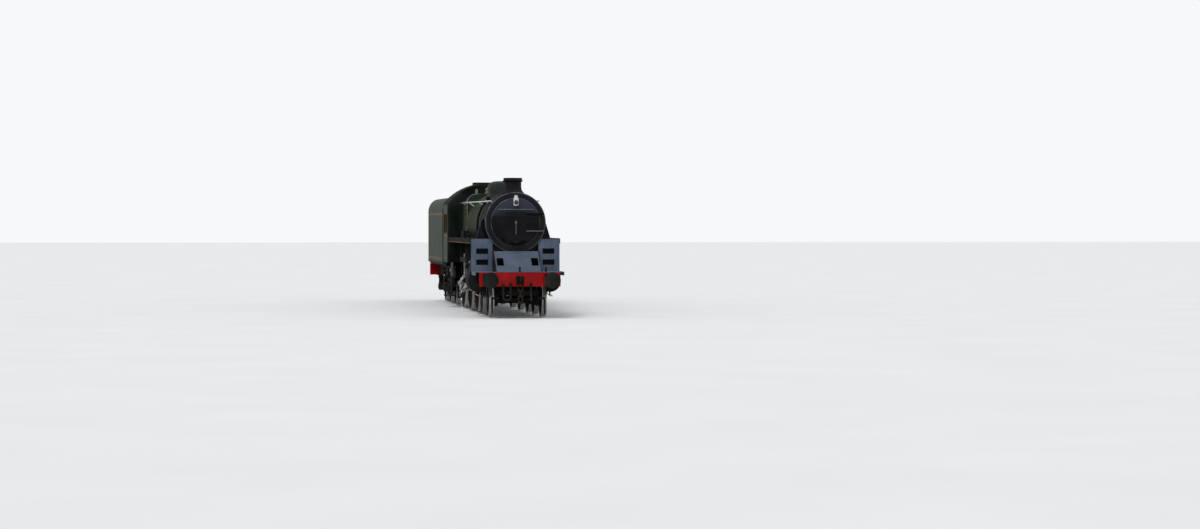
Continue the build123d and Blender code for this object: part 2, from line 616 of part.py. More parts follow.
def build_cylinders():
    front = CYL_S - CYL_LONG / 2
    chest = tube(front - 60, CYL_BACK + 60, CYL_Y, CHEST_H, CHEST_R)
    wide, narrow = CYL_R - 6, CHEST_R - 2
    between = [
        (CYL_Y - wide + 20, CYL_H + 60),
        (CYL_Y + wide, CYL_H + 60),
        (CYL_Y + narrow, CHEST_H),
        (CYL_Y - narrow, CHEST_H),
    ]
    block = [tube(front, CYL_BACK, CYL_Y, CYL_H, CYL_R), chest, prism(between, front + 12, CYL_BACK - 12)]
    block.append(box(CYL_S - 340, CYL_S + 340, FRAME_OUT, CYL_Y - 120, CYL_H - 10, CHEST_H + 120))
    cover_r = CYL_R - 48
    cover = [(0, 0), (0, cover_r), (-34, cover_r), (-46, 205), (-62, 150), (-70, 0)]
    block.append(turned_long([(front + d, r) for d, r in cover], CYL_Y, CYL_H))
    gland = [(0, 0), (0, cover_r - 7), (30, cover_r - 7), (44, 110), (130, 80), (130, 0)]
    block.append(turned_long([(CYL_BACK + d, r) for d, r in gland], CYL_Y, CYL_H))
    bar_y = (CYL_Y - BAR_HALF, CYL_Y + BAR_HALF)
    block.append(box(CYL_BACK, CYL_BACK + 62, *bar_y, CYL_H + 210, SLIPPER_H[1] + 56))
    block.append(tube(front - 80, CYL_BACK + 80, CYL_Y, CHEST_H, CHEST_R - 40))
    node("cylinders", both(one(block)))
    # Steam pipes in their casings, from the smokebox sides to the steam chests through the plates
    outline = [
        (CYL_Y - 90, CHEST_H + 40),
        (CYL_Y + 90, CHEST_H + 40),
        (CYL_Y + 90, PLATE_H - 120),
        (SMOKEBOX_R + 60, PITCH + 60),
        (SMOKEBOX_R - 60, PITCH + 180),
        (SMOKEBOX_R - 120, PLATE_H - 60),
    ]
    casing = prism(outline, CYL_S - 130, CYL_S + 130) - chest
    casing -= tube(SMOKEBOX_S[0], SMOKEBOX_S[1], 0, PITCH, SMOKEBOX_R)
    casing -= box(CYL_S - 200, CYL_S + 200, 0, PLATE_OUT, PLATE_H, PLATE_H + PLATE_T)
    node("steam_pipes", both(casing))


# Boiler


def barrel_radius(s):
    """Cladding radius of the tapered barrel at a station."""
    return BARREL_R[0] + (BARREL_R[1] - BARREL_R[0]) * (s - SMOKEBOX_S[1]) / BARREL_LONG


def firebox_end(s, narrower, lower):
    """Cross-section of the square-topped firebox, with rounded shoulders and a waist between the wheels."""
    shoulder = 250
    side, top = FIREBOX_HALF - narrower, FIREBOX_TOP - lower
    foot, waist = TYRE_IN - 120, TYRE_IN - 32
    inner = side - 4 - shoulder
    right = [(foot, FIREBOX_LOW), (foot, FRAME_TOP), (waist, FRAME_TOP + 80)]
    right += [(waist, 2 * DRIVER_R + FLANGE + 15), (side - 32, PLATE_H - 120), (side, PLATE_H + 130)]
    half = [Polyline(*right, (side - 4, top - shoulder)), CenterArc((inner, top - shoulder), shoulder, 0, 90)]
    crown = ThreePointArc((inner, top), (0, top + 28), (-inner, top))
    foot_line = Line((-foot, FIREBOX_LOW), (foot, FIREBOX_LOW))
    return section(s, [*half, crown, *[mirror(edge, about=Plane.YZ) for edge in half], foot_line])


def build_boiler():
    front, back = SMOKEBOX_S
    drum = turned_long(
        [
            (front, DOOR_HOLE_R),
            (front, RING_R - 12),
            (front + 12, RING_R),
            (front + 60, RING_R),
            (front + 75, SMOKEBOX_R),
            (back, SMOKEBOX_R),
            (back, 0),
            (back - 40, 0),
            (back - 40, SMOKEBOX_R - SMOKEBOX_T),
            (front + 26, SMOKEBOX_R - SMOKEBOX_T),
            (front + 26, DOOR_HOLE_R),
        ],
        0,
        PITCH,
    )
    drum -= post(CHIMNEY_S, 0, FLUE_R, PITCH + 500, PITCH + SMOKEBOX_R + 200)
    base = PITCH - SMOKEBOX_R + 15
    blast = [(0, base), (150, base), (150, base + 140), (95, base + 460), (62, base + 660), (0, base + 660)]
    node("smokebox", one([drum, turned_up(blast, CHIMNEY_S, 0), *door_hinges(front)]))
    drum_space = tube(front - 50, back + 50, 0, PITCH, SMOKEBOX_R)
    saddle = box(CYL_S - 420, CYL_S + 420, -FRAME_IN, FRAME_IN, FRAME_TOP, PLATE_H - 40)
    node("smokebox_saddle", saddle - drum_space)
    taper = [(back, 0), (back, BARREL_R[0]), (BARREL_END_S, BARREL_R[1]), (BARREL_END_S, 0)]
    barrel = turned_long(taper, 0, PITCH)
    node("boiler_barrel", barrel)
    firebox = loft([firebox_end(BARREL_END_S, 0, 0), firebox_end(FIREBOX_END_S, 65, 120)], ruled=True)
    node("firebox", firebox)
    top = PITCH + SMOKEBOX_R
    # (radius, height above the smokebox) up to the waist, then (radius, height below the rim)
    flare = [(FLUE_R, -155), (300, -155), (300, -30), (330, -10), (264, 75), (CHIMNEY_R + 2, 160)]
    cap = [(0, -120), (26, -104), (54, -92), (54, -80), (26, -70), (22, 0), (-16, 0)]
    profile = [(r, top + h) for r, h in flare]
    profile += [(CHIMNEY_R + r, top + CHIMNEY_RISE + h) for r, h in cap]
    profile.append((FLUE_R, top + CHIMNEY_RISE - 40))
    node("chimney", turned_up(profile, CHIMNEY_S, 0) - drum_space)
    # (radius, height below the top)
    dome = [(0, -570), (DOME_R + 30, -570), (DOME_R + 30, -440), (DOME_R + 8, -415), (DOME_R, -390)]
    dome += [(DOME_R, -250), (DOME_R - 8, -170), (DOME_R - 32, -98), (DOME_R - 80, -48)]
    dome += [(DOME_R - 165, -16), (DOME_R - 290, -2), (0, 0)]
    node("dome", turned_up([(r, DOME_TOP + h) for r, h in dome], DOME_S, 0) - barrel)
    build_mountings(barrel, firebox)
    build_handrails(barrel, firebox, drum_space)
    build_door(front)


def build_mountings(barrel, firebox):
    """Safety valves and whistle on the firebox, and the feed valves with their pipes."""
    fittings = []
    seat = FIREBOX_TOP - 100
    valve = [(0, 0), (95, 0), (95, 150), (72, 165), (72, 250), (84, 262), (84, 290), (30, 300), (30, 330), (0, 330)]
    for y in (-190, 190):
        fittings.append(turned_up([(r, seat + h) for r, h in valve], BARREL_END_S + 520, y) - firebox)
    whistle_s, whistle_y = CAB_S[0] - 260, -420
    whistle = [(0, -100), (26, -100), (26, 130), (46, 134), (46, 290), (12, 294), (12, 320), (0, 320)]
    whistle = turned_up([(r, seat + h - 20) for r, h in whistle], whistle_s, whistle_y)
    fittings.append(whistle - firebox)
    s = SMOKEBOX_S[1] + 480
    radius = barrel_radius(s)

    def out(distance, angle=40):
        a = radians(angle)
        return (s, distance * sin(a), PITCH + distance * cos(a))

    feed = pole(out(radius - 60), out(radius + 120), 70)
    top = out(radius + 120)
    feed += tube(s - 95, s + 95, top[1], top[2], 50)
    # The pipe runs round the barrel and down to the plate
    round_it = [out(radius + 74, angle) for angle in (44, 56, 68, 80)]
    down = (s, radius + 84, PITCH - 40)
    feed += pipe([*round_it, down, (s, radius + 84, PLATE_H + PLATE_T)], 110, 34)
    node("boiler_mountings", *fittings, both(feed - barrel))


def handrail(side, barrel, firebox, drum_space):
    """The rail on one side of the boiler (side 1 or -1), on pillars, from the cab to the smokebox."""
    front, back = SMOKEBOX_S
    turn = BARREL_END_S - 60
    # (station, offset) of the rail's turning points
    route = [(front + 260, 690), (back + 60, 700), (turn, FIREBOX_HALF + 25), (CAB_S[0], FIREBOX_HALF + 25)]
    route = [(s, side * y) for s, y in route]
    rail = one([pole((*a, RAIL_H), (*b, RAIL_H), 17) for a, b in zip(route, route[1:])])
    for s, y in route[1:-1]:
        rail += tube(s - 30, s + 30, y, RAIL_H, 24)
    for s, number in ((front + 300, 0), (back - 60, 0), (back + 1500, 1), (turn - 500, 1), (turn + 1200, 2)):
        a, b = route[number], route[number + 1]
        slope = (b[1] - a[1]) / (b[0] - a[0])
        y = a[1] + slope * (s - a[0])
        pillar = pole((s, y, RAIL_H), (s, y - side * 390, RAIL_H - 280), 15) - drum_space - barrel - firebox
        rail += max(pillar.solids(), key=lambda solid: side * solid.center().Y)
        rail += pole((s - 22, y - 22 * slope, RAIL_H), (s + 22, y + 22 * slope, RAIL_H), 27)
    return rail


def build_handrails(barrel, firebox, drum_space):
    node("handrails", handrail(1, barrel, firebox, drum_space), handrail(-1, barrel, firebox, drum_space))


def front_piece(shape, door):
    """What is left of a shape in front of the door."""
    return max((shape - door).solids(), key=lambda solid: solid.bounding_box().max.X)


def door_hinges(front):
    """Ears and pins on the smokebox front that the door swings on."""
    lugs = []
    eye = STRAP_W / 2 + 12
    for h in (PITCH - STRAP_H, PITCH + STRAP_H):
        ears = box(front - 44, front, HINGE_Y - 22, HINGE_Y + 26, h - eye - 28, h - eye - FIT)
        ears += box(front - 44, front, HINGE_Y - 22, HINGE_Y + 26, h + eye + FIT, h + eye + 28)
        lugs.append(ears + post(HINGE_S, HINGE_Y, 12, h - eye - 28, h + eye + 28))
    return lugs


def build_door(front):
    # (distance in front of the smokebox ring, share of the door's radius)
    dished = [(18, 1), (30, 0.977), (34, 0.915), (62, 0.794), (92, 0.567), (108, 0.35), (117, 0.16), (120, 0)]
    outer = [(front - 2, 0), (front - 2, DOOR_R), *[(front - d, DOOR_R * share) for d, share in dished]]
    inner = [(front - d + 30, DOOR_R * share) for d, share in dished[3:]]
    door = turned_long(outer, 0, PITCH)
    door -= turned_long([(front - 2, 0), (front - 2, DOOR_HOLE_R), *inner], 0, PITCH)
    node("smokebox_door", door)
    straps = []
    eye = STRAP_W / 2 + 12
    for h in (PITCH - STRAP_H, PITCH + STRAP_H):
        plan = [(front - 110, 300), (front - 60, DOOR_R - 65), (HINGE_S - 18, HINGE_Y), (HINGE_S + 10, HINGE_Y)]
        plan += [(front - 20, DOOR_R + 1), (front - 30, 300)]
        arm = front_piece(deck(plan, h - STRAP_W / 2, h + STRAP_W / 2), door)
        arm += post(HINGE_S, HINGE_Y, 24, h - eye, h + eye)
        straps.append(arm - post(HINGE_S, HINGE_Y, 12 + FIT, h - eye - 5, h + eye + 5))
    dart = tube(front - 112, front - 164, 0, PITCH, 34)
    dart += post(front - 152, 0, 13, PITCH - 330, PITCH + 20)
    dart += post(front - 134, 0, 13, PITCH - 60, PITCH + 60)
    rail_s, rail_h = front - 138, PITCH + 372
    rail = [pole((rail_s, -510, rail_h), (rail_s, 510, rail_h), 15)]
    for y in (-420, 0, 420):
        rail.append(tube(rail_s, front - 40, y, rail_h, 14))
        rail.append(Pos(st(rail_s), y, up(rail_h)) * Sphere(24))
    node("door_fittings", *straps, front_piece(dart, door), front_piece(one(rail), door))
    plate = box(front - 128, front - 60, -280, 280, PITCH + 160, PITCH + 300)
    seat = Plane(origin=(st(front - 116), 0, up(PITCH - 535)), x_dir=(0, 1, 0), z_dir=(-1, 0, 0))
    oval = extrude(seat * Ellipse(92, 55), amount=60)
    node("door_plates", front_piece(plate, door), front_piece(oval, door))
    lamp_s, lamp_h = front - 150, PITCH + 490
    lamp = box(lamp_s - 76, lamp_s + 76, -66, 66, lamp_h, lamp_h + 200)
    cowl = [(0, 190), (60, 190), (60, 232), (40, 250), (40, 276), (52, 286), (0, 296)]
    lamp += turned_up([(r, lamp_h + h) for r, h in cowl], lamp_s, 0)
    lamp += tube(lamp_s - 60, lamp_s - 104, 0, lamp_h + 88, 52)
    lamp += box(lamp_s - 12, front - 26, -24, 24, lamp_h - 20, lamp_h)
    node("head_lamp", front_piece(lamp, door))


# Platform, running plates and cab


def build_platform():
    low, top = BEAM_H[1], PLATE_H - 350
    back = SMOKEBOX_S[0] - 8
    outline = [(0, low), (0, low + PLATE_T), (240, low + PLATE_T), (back - 100, top), (back, top)]
    outline += [(back, top - PLATE_T), (back - 92, top - PLATE_T), (250, low)]
    middle = slab(outline, -FRAME_IN, FRAME_IN)
    for ends in ((395, 590), (-590, -395)):
        middle -= box(100, STEP_PLATE_S + 200, *ends, low + 182, low + 392)
    node("front_casing", middle)
    edge = BEAM_HALF + 110
    made = box(0, STEP_PLATE_S, FRAME_OUT, edge, low, low + PLATE_T)
    made += box(0, STEP_PLATE_S, edge - 12, edge, low - 90, low)
    upright = box(STEP_PLATE_S, STEP_PLATE_S + STEP_PLATE_T, FRAME_OUT, PLATE_OUT - 20, low, PLATE_H)
    made += upright - tube(STEP_PLATE_S - 10, STEP_PLATE_S + 40, 0, PITCH, RING_R)
    for hole in (low + 192, PLATE_H - 425):
        made -= box(STEP_PLATE_S - 5, STEP_PLATE_S + STEP_PLATE_T + 5, 780, 1120, hole, hole + 155)
        made += box(STEP_PLATE_S + STEP_PLATE_T, STEP_PLATE_S + 60, 770, 1130, hole - 12, hole)
        made += box(STEP_PLATE_S + 48, STEP_PLATE_S + 60, 770, 1130, hole, hole + 167)
    node("step_plates", both(made))

    def beside(radius):
        """Offset at which the running plate clears a round of this radius about the boiler's middle."""
        return sqrt((radius + 8) ** 2 - (PITCH - PLATE_H - PLATE_T) ** 2)

    wide = FIREBOX_HALF + 24
    outline = [
        (STEP_PLATE_S, PLATE_OUT),
        (CAB_S[0], PLATE_OUT),
        (CAB_S[0], wide),
        (BARREL_END_S - 80, wide),
        (BARREL_END_S - 200, beside(BARREL_R[1]) + 10),
        (SMOKEBOX_S[1] + 60, beside(BARREL_R[0]) + 10),
        (SMOKEBOX_S[1] + 20, beside(RING_R)),
        (STEP_PLATE_S, beside(RING_R)),
    ]
    run = deck(outline, PLATE_H, PLATE_H + PLATE_T)
    run += box(STEP_PLATE_S, CAB_S[0], PLATE_OUT - 18, PLATE_OUT, PLATE_H - VALANCE, PLATE_H)
    for s, foot in zip(BRACKET_S, (WEIGH_H - 50, WEIGH_H - 40)):
        run += box(s, s + 30, REACH_Y + 40, GIRDER_Y[1], foot, PLATE_H)
    for share in (0.3, 0.85):
        s = BARREL_END_S + (CAB_S[0] - BARREL_END_S) * share
        run += box(s, s + 20, REACH_Y + 40, PLATE_OUT - 18, PLATE_H - 110, PLATE_H)
    # Mechanical lubricators and sand fillers stand on the plates
    top = PLATE_H + PLATE_T
    for s in (LINK_S - 420, LINK_S):
        run += box(s - 150, s + 150, 1060, 1230, top, top + 190)
        run += box(s - 158, s + 158, 1052, 1238, top + 190, top + 212)
    neck = [(0, 0), (70, 0), (70, 14), (48, 14), (48, 74), (62, 80), (62, 100), (0, 108)]
    for s in (LEAD_S - 560, MAIN_S - 1143, TRAIL_S - 1250):
        run += turned_up([(r, top + h) for r, h in neck], s, 1120)
    node("running_plates", both(run))


def arch(half, eaves, top):
    """Radius and centre height of a roof's arc."""
    rise = top - eaves
    radius = (half**2 + rise**2) / (2 * rise)
    return radius, top - radius


def cab_profile(half, low, eaves, top):
    """Edges of the cab's cross-section, with an arched roof."""
    walls = [(half, eaves), (half, low), (-half, low), (-half, eaves)]
    if low == eaves:
        walls = [(half, eaves), (-half, eaves)]
    return [Polyline(*walls), ThreePointArc((half, eaves), (0, top), (-half, eaves))]


def build_cab():
    s0, s1 = CAB_S
    firebox = NODES["firebox"]
    wheel_room = pin(TRAIL_S, DRIVER_R, DRIVER_R + FLANGE + 16, TYRE_IN - 20, TYRE_OUT + 18)
    side = [(s0, CAB_LOW), (s0, CAB_EAVES), (s1 - 60, CAB_EAVES), (s1 - 60, PLATE_H + 170)]
    side += [(s1 - 40, PLATE_H + 80), (s1, PLATE_H), (s1, CAB_LOW)]
    side = slab(side, CAB_HALF - CAB_T, CAB_HALF)
    glass = []
    for a, b in ((s0 + 190, s0 + 740), (s0 + 800, s0 + 1350)):
        side -= box(a, b, CAB_HALF - 50, CAB_HALF + 10, *WINDOW_H)
        glass.append(box(a, b, CAB_HALF - 20, CAB_HALF - 14, *WINDOW_H))
    node("cab_sides", both(side))
    inside = ROOF_HALF - ROOF_T
    front = curved_prism(cab_profile(inside, CAB_LOW, CAB_EAVES, ROOF_TOP - ROOF_T), s0, s0 + CAB_T)
    front = front & box(s0, s0 + CAB_T, CAB_T - CAB_HALF, CAB_HALF - CAB_T, CAB_LOW, ROOF_TOP)
    front -= firebox
    # Room for the trailing driving wheels and their rods, for the frames and for the reversing rod
    front -= box(s0 - 10, s0 + 60, -PIN_END - GAP, PIN_END + GAP, 0, FLOOR_H)
    front -= box(s0 - 10, s0 + 60, -FRAME_OUT - 3, FRAME_OUT + 3, 0, FRAME_TOP + 40)
    front -= tube(s0 - 20, s0 + 60, REACH_Y, REACH_END[2], 44)
    spectacle = [(945, PITCH - 250), (1215, PITCH - 250), (1215, CAB_EAVES - 210), (1100, CAB_EAVES - 70)]
    spectacle.append((945, CAB_EAVES - 70))
    for room in (wheel_room, prism(spectacle, s0 - 5, s0 + CAB_T + 5)):
        front -= room
        front -= far(room)
    node("cab_front", front)
    pane = prism(spectacle, s0 + 12, s0 + 18)
    node("cab_windows", *[both(item) for item in (*glass, pane)])
    build_roof(s0, s1)
    floor = box(s0 + CAB_T, s1, CAB_T - CAB_HALF, CAB_HALF - CAB_T, FLOOR_H, FLOOR_H + FLOOR_T) - firebox
    top = FLOOR_H + FLOOR_T
    floor += slab([(s1, top), (s1 + 350, FLOOR_H + 12), (s1 + 350, FLOOR_H), (s1, top - 18)], -900, 900)
    floor += box(FRAME_END_S - 660, FRAME_END_S, -FRAME_IN, FRAME_IN, DRAW_H + 150, FLOOR_H)
    splasher = pin(TRAIL_S, DRIVER_R, DRIVER_R + FLANGE + 30, TYRE_IN - 32, TYRE_OUT + 30)
    splasher = (splasher & box(s0 + CAB_T, TRAIL_S + DRIVER_R + 200, 500, 1000, FLOOR_H, PLATE_H)) - firebox
    for shape, room in zip(both(splasher), both(wheel_room)):
        floor += shape
        floor -= room
    node("cab_floor", floor)


def build_roof(s0, s1):
    """The arched roof with its sliding hatch and rain strips."""
    outer = cab_profile(ROOF_HALF, CAB_EAVES, CAB_EAVES, ROOF_TOP)
    inner = cab_profile(ROOF_HALF - ROOF_T, CAB_EAVES - 5, CAB_EAVES, ROOF_TOP - ROOF_T)
    back = s1 + ROOF_OVER
    roof = curved_prism(outer, s0 - 90, back) - curved_prism(inner, s0 - 100, back + 10)
    filled = curved_prism(cab_profile(ROOF_HALF, CAB_EAVES - 5, CAB_EAVES, ROOF_TOP), s0 - 90, back)
    roof += box(s0 + 500, s0 + 1250, -420, 420, ROOF_TOP - 110, ROOF_TOP + 22) - filled
    radius, centre = arch(ROOF_HALF, CAB_EAVES, ROOF_TOP)
    for y in (-1128, 1128):
        h = centre + sqrt(radius**2 - y**2)
        roof += box(s0 - 40, s1 + 60, y - 7, y + 7, h - 14, h + 16)
    node("cab_roof", roof)


def build_cab_inside():
    back = FIREBOX_END_S
    floor = FLOOR_H + FLOOR_T
    doors = box(back, back + 24, -300, 300, floor + 130, floor + 560)
    for ends in ((-230, -6), (6, 230)):
        doors += box(back + 24, back + 50, *ends, floor + 180, floor + 520)
    shelf = box(back, back + 180, -420, 420, PITCH + 170, PITCH + 194)
    pieces = [doors, shelf]
    for y in (-260, 260):
        gauge = post(back + 70, y, 24, PITCH - 260, PITCH + 90)
        for h in (PITCH - 220, PITCH + 50):
            gauge += tube(back, back + 70, y, h, 20)
        pieces.append(gauge)
    pieces += [tube(back, back + 60, y, PITCH + 330, 92) for y in (-120, 120)]
    regulator = tube(back, back + 120, 430, PITCH + 60, 44)
    regulator += pole((back + 96, 430, PITCH + 60), (back + 96, 620, PITCH - 400), 17)
    seat = box(back + 430, back + 840, 820, 1240, floor, floor + 500)
    seat += box(back + 420, back + 850, 810, 1250, floor + 500, floor + 560)
    stand_s = back + 310
    reverser = box(stand_s - 50, stand_s + 50, 880, 1060, floor, PITCH - 217)
    reverser += pin(stand_s, PITCH - 267, 150, 860, 880)
    node("cab_fittings", *pieces, regulator, both(seat), reverser)


# Underframe


def build_springs_and_boxes():
    boxes, springs = [], []
    inner, outer = FRAME_IN - 43, TYRE_IN - HUB_OUT - FIT
    low = DRIVER_R - 300
    for station in DRIVER_S:
        ends = (station - HORN_HALF + FIT, station + HORN_HALF - FIT)
        body = box(*ends, inner, outer, low + 90, DRIVER_R + 180)
        boxes.extend(both(body - pin(station, DRIVER_R, AXLE_R + FIT, inner - 5, outer + 5)))
        spring = leaf_spring(station, 520, low - 20, 110, inner, outer)
        spring += box(station - 45, station + 45, inner + 10, outer - 10, low - 40, low + 90)
        for s in (station - 495, station + 495):
            spring += box(s - 20, s + 20, inner + 20, outer - 16, low - 22, low)
        springs.extend(both(spring))
    node("driver_axleboxes", *boxes, *springs)


def brake(station, radius, pivot_h, low_h, frame_y):
    """Shoes before a pair of wheels, on hangers joined by a cross beam."""
    reach = radius + GAP + 4
    s = station - reach
    half = radius * 0.16
    shoe = [(s, radius + half), (s - 62, radius + half), (s - 80, radius), (s - 62, radius - half)]
    made = slab([*shoe, (s, radius - half)], TYRE_IN + 42, TYRE_OUT - 8)
    made -= pin(station, radius, reach, TYRE_IN, TYRE_OUT + 10)
    made += link((s - 50, pivot_h), (s - 50, low_h), 60, TYRE_IN + 75, TYRE_IN + 105)
    made += pin(s - 50, pivot_h, 24, min(frame_y, TYRE_IN + 75), max(frame_y, TYRE_IN + 110))
    return one([made, far(made), pin(s - 50, low_h, 30, 20 - TYRE_OUT, TYRE_OUT - 20)])


def build_brakes():
    node("engine_brakes", *[brake(s, DRIVER_R, DRIVER_R + 340, DRIVER_R - 350, FRAME_OUT) for s in DRIVER_S])
    pieces = [brake(s, TENDER_R, TENDER_R + 304, TENDER_R - 250, TENDER_PLATE[0]) for s in TENDER_S]
    ends = (TENDER_S[0] - TENDER_R - 60, TENDER_S[2] - TENDER_R - 60)
    node("tender_brakes", one([*pieces, box(*ends, -20, 20, TENDER_R - 270, TENDER_R - 230)]))


def build_ashpan():
    top = FIREBOX_LOW
    half = TYRE_IN - 120
    beam_s = TRAIL_S - DRIVER_R - 60
    pan = box(beam_s - 80, beam_s + 80, -half, half, top - 200, top)
    # A deep hopper before the brake's cross beam and a shallower one behind it
    for s0, s1, side, low in (
        (MAIN_S + 524, beam_s - 80, top - 340, top - 620),
        (beam_s + 80, TRAIL_S - AXLE_R - 59, top - 280, top - 460),
    ):
        pan += prism([(half, top), (half, side), (380, low), (-380, low), (-half, side), (-half, top)], s0, s1)
    node("ashpan", pan)


def steps(s, width, treads, low, top, plate_y, out_y):
    """Footsteps hung on one plate."""
    made = box(s, s + width, plate_y, plate_y + 14, low, top)
    for number in range(treads):
        h = low + (top - low) * number / treads
        made += box(s, s + width, plate_y + 14, out_y, h, h + 16)
        made += box(s, s + width, out_y - 10, out_y, h + 16, h + 50)
    return made


def build_steps():
    node("engine_steps", both(steps(CAB_S[1] - 650, 400, 3, 330, FLOOR_H, 1080, CAB_HALF)))
    injectors = []
    y, h = -1120, FLOOR_H - 340
    body = [(0, 0), (0, 44), (60, 44), (80, 66), (180, 66), (200, 40), (330, 40), (350, 58), (400, 58), (400, 0)]
    for s in (CAB_S[0] + 160, CAB_S[0] + 620):
        made = turned_long([(s + d, r) for d, r in body], y, h)
        made += post(s + 130, y, 34, h, FLOOR_H) + post(s + 376, y, 22, h - 180, h)
        injectors.append(made)
    node("injectors", *injectors)


def build_bogie():
    base = BOGIE_BASE / 2
    ends = base + 330
    horn, side = 130, 20
    low, mid, top = BOGIE_R - 157, BOGIE_R + 103, BOGIE_R + 303
    plate_y = (FRAME_IN - 68, FRAME_IN - 43)
    outline = [(BOGIE_S - ends, mid), (BOGIE_S - ends, top - 60), (BOGIE_S - ends + 60, top)]
    outline += [(BOGIE_S + ends - 60, top), (BOGIE_S + ends, top - 60), (BOGIE_S + ends, mid)]
    for axle in (BOGIE_S + base, BOGIE_S - base):
        for edge, inner in ((axle + horn, axle + horn - side), (axle - horn, axle - horn + side)):
            jaw = [(edge, mid), (edge, low), (inner, low), (inner, mid + 40)]
            outline += jaw if edge > axle else reversed(jaw)
    plate = slab(outline, *plate_y)
    frame = [plate, far(plate)]
    pivot_h = BOGIE_R + 473
    centre = box(BOGIE_S - 300, BOGIE_S + 300, -plate_y[0], plate_y[0], BOGIE_R + 183, pivot_h - 50)
    for wing in both(box(BOGIE_S - 150, BOGIE_S + 150, plate_y[0], FRAME_IN + 10, BOGIE_R + 243, pivot_h - 50)):
        centre += wing
    centre += box(BOGIE_S - 210, BOGIE_S + 210, -250, 250, pivot_h - 50, pivot_h - FIT)
    frame.append(centre - post(BOGIE_S, 0, 110 + FIT, BOGIE_R + 143, pivot_h + 30))
    for s in (BOGIE_S - ends + 30, BOGIE_S + ends - 60):
        frame.append(box(s, s + 30, -plate_y[0], plate_y[0], mid + 40, top - 20))
    # Guard irons, in front of the wheels and down to the rails
    nose = BOGIE_S - base - BOGIE_R - FLANGE - 30
    root = BOGIE_S - ends + 60
    arm = slab([(root, top - 60), (root, mid), (nose, mid - 60), (nose - 36, mid - 60), (nose - 36, mid)], *plate_y)
    arm += box(nose - 36, nose, plate_y[0], TYRE_IN + 90, mid - 60, mid)
    arm += link((nose - 18, mid - 30), (nose - 40, 100), 36, TYRE_IN + 40, TYRE_IN + 90)
    frame.extend(both(arm))
    node("bogie_frame", one(frame))
    pieces = []
    for axle in (BOGIE_S - base, BOGIE_S + base):
        half = horn - side - FIT
        body = box(axle - half, axle + half, plate_y[0] - 20, FRAME_IN + 12, BOGIE_R - 130, mid + 40 - FIT)
        pieces.extend(both(body - pin(axle, BOGIE_R, BOGIE_AXLE_R + FIT, 500, 700)))
    # An equalising beam on each side rests under both axleboxes and carries the spring
    seat = BOGIE_R - 130
    right = [(300, seat + 93), (base - 60, seat), (base + 60, seat), (base + 60, seat - 28)]
    right += [(base - 80, seat - 38), (320, seat - 28)]
    beam = [*right, *[(-d, h) for d, h in reversed(right)]]
    spring = slab([(BOGIE_S + d, h) for d, h in beam], FRAME_IN - 38, FRAME_IN + 2)
    spring += box(BOGIE_S - 60, BOGIE_S + 60, plate_y[1], FRAME_IN + 12, seat + 90, BOGIE_R + 243)
    node("bogie_axleboxes", *pieces, both(spring))


# Tender


def tank_outline(inset, low, high):
    """Edges of the tender's cross-section, with high side sheets curved in at the top."""
    half, top_half = TANK_HALF - inset, TANK_TOP_HALF - inset
    curve = EllipticalCenterArc((top_half, TANK_FLAT_TOP), half - top_half, TANK_TOP - TANK_FLAT_TOP, 0, arc_size=90)
    side = [Line((half, low), (half, TANK_FLAT_TOP)), curve]
    if high > TANK_TOP:
        side.append(Line((top_half, TANK_TOP), (top_half, high)))
    ends = [Line((top_half, high), (-top_half, high)), Line((-half, low), (half, low))]
    return [*side, *[mirror(edge, about=Plane.YZ) for edge in side], *ends]


def build_tank():
    s0, s1 = TANK_S
    wall = TANK_WALL
    high, foot = TANK_TOP + 60, TANK_LOW + 420
    shell = curved_prism(tank_outline(0, TANK_LOW, TANK_TOP), s0, s1)
    hollow = curved_prism(tank_outline(wall, foot - 20, high), s0 - 10, s1 + 10)
    bulkhead_s = TENDER_S[1] + 442
    coal = [(s0 + wall, foot), (s0 + wall, high + 40), (bulkhead_s, high + 40), (bulkhead_s, TANK_DECK + 60)]
    coal += [(bulkhead_s - 1000, TANK_DECK - 200), (s0 + 1080, foot)]
    tank = shell - (hollow & slab(coal, -TANK_HALF, TANK_HALF))
    # The tank's deck behind the bulkhead, with a low lip at the back
    tank -= hollow & box(bulkhead_s + wall, s1 - wall, -TANK_HALF, TANK_HALF, TANK_DECK, high + 40)
    tank -= hollow & box(s1 - wall - 10, s1 + 10, -TANK_HALF, TANK_HALF, TANK_DECK + 120, high + 40)
    tank -= box(s0 - 10, s0 + wall + 10, -420, 420, foot + 1, foot + 900)
    lid = [(0, 0), (330, 0), (330, 210), (345, 215), (345, 240), (200, 262), (0, 268)]
    tank += turned_up([(r, TANK_DECK + h) for r, h in lid], TENDER_S[2] + 300, 0)
    vent = [(0, 0), (80, 0), (80, 230), (104, 240), (104, 280), (60, 320), (0, 326)]
    for y in (-620, 620):
        tank += turned_up([(r, TANK_DECK + h) for r, h in vent], TENDER_S[2] - 400, y)
    node("tender_tank", tank)


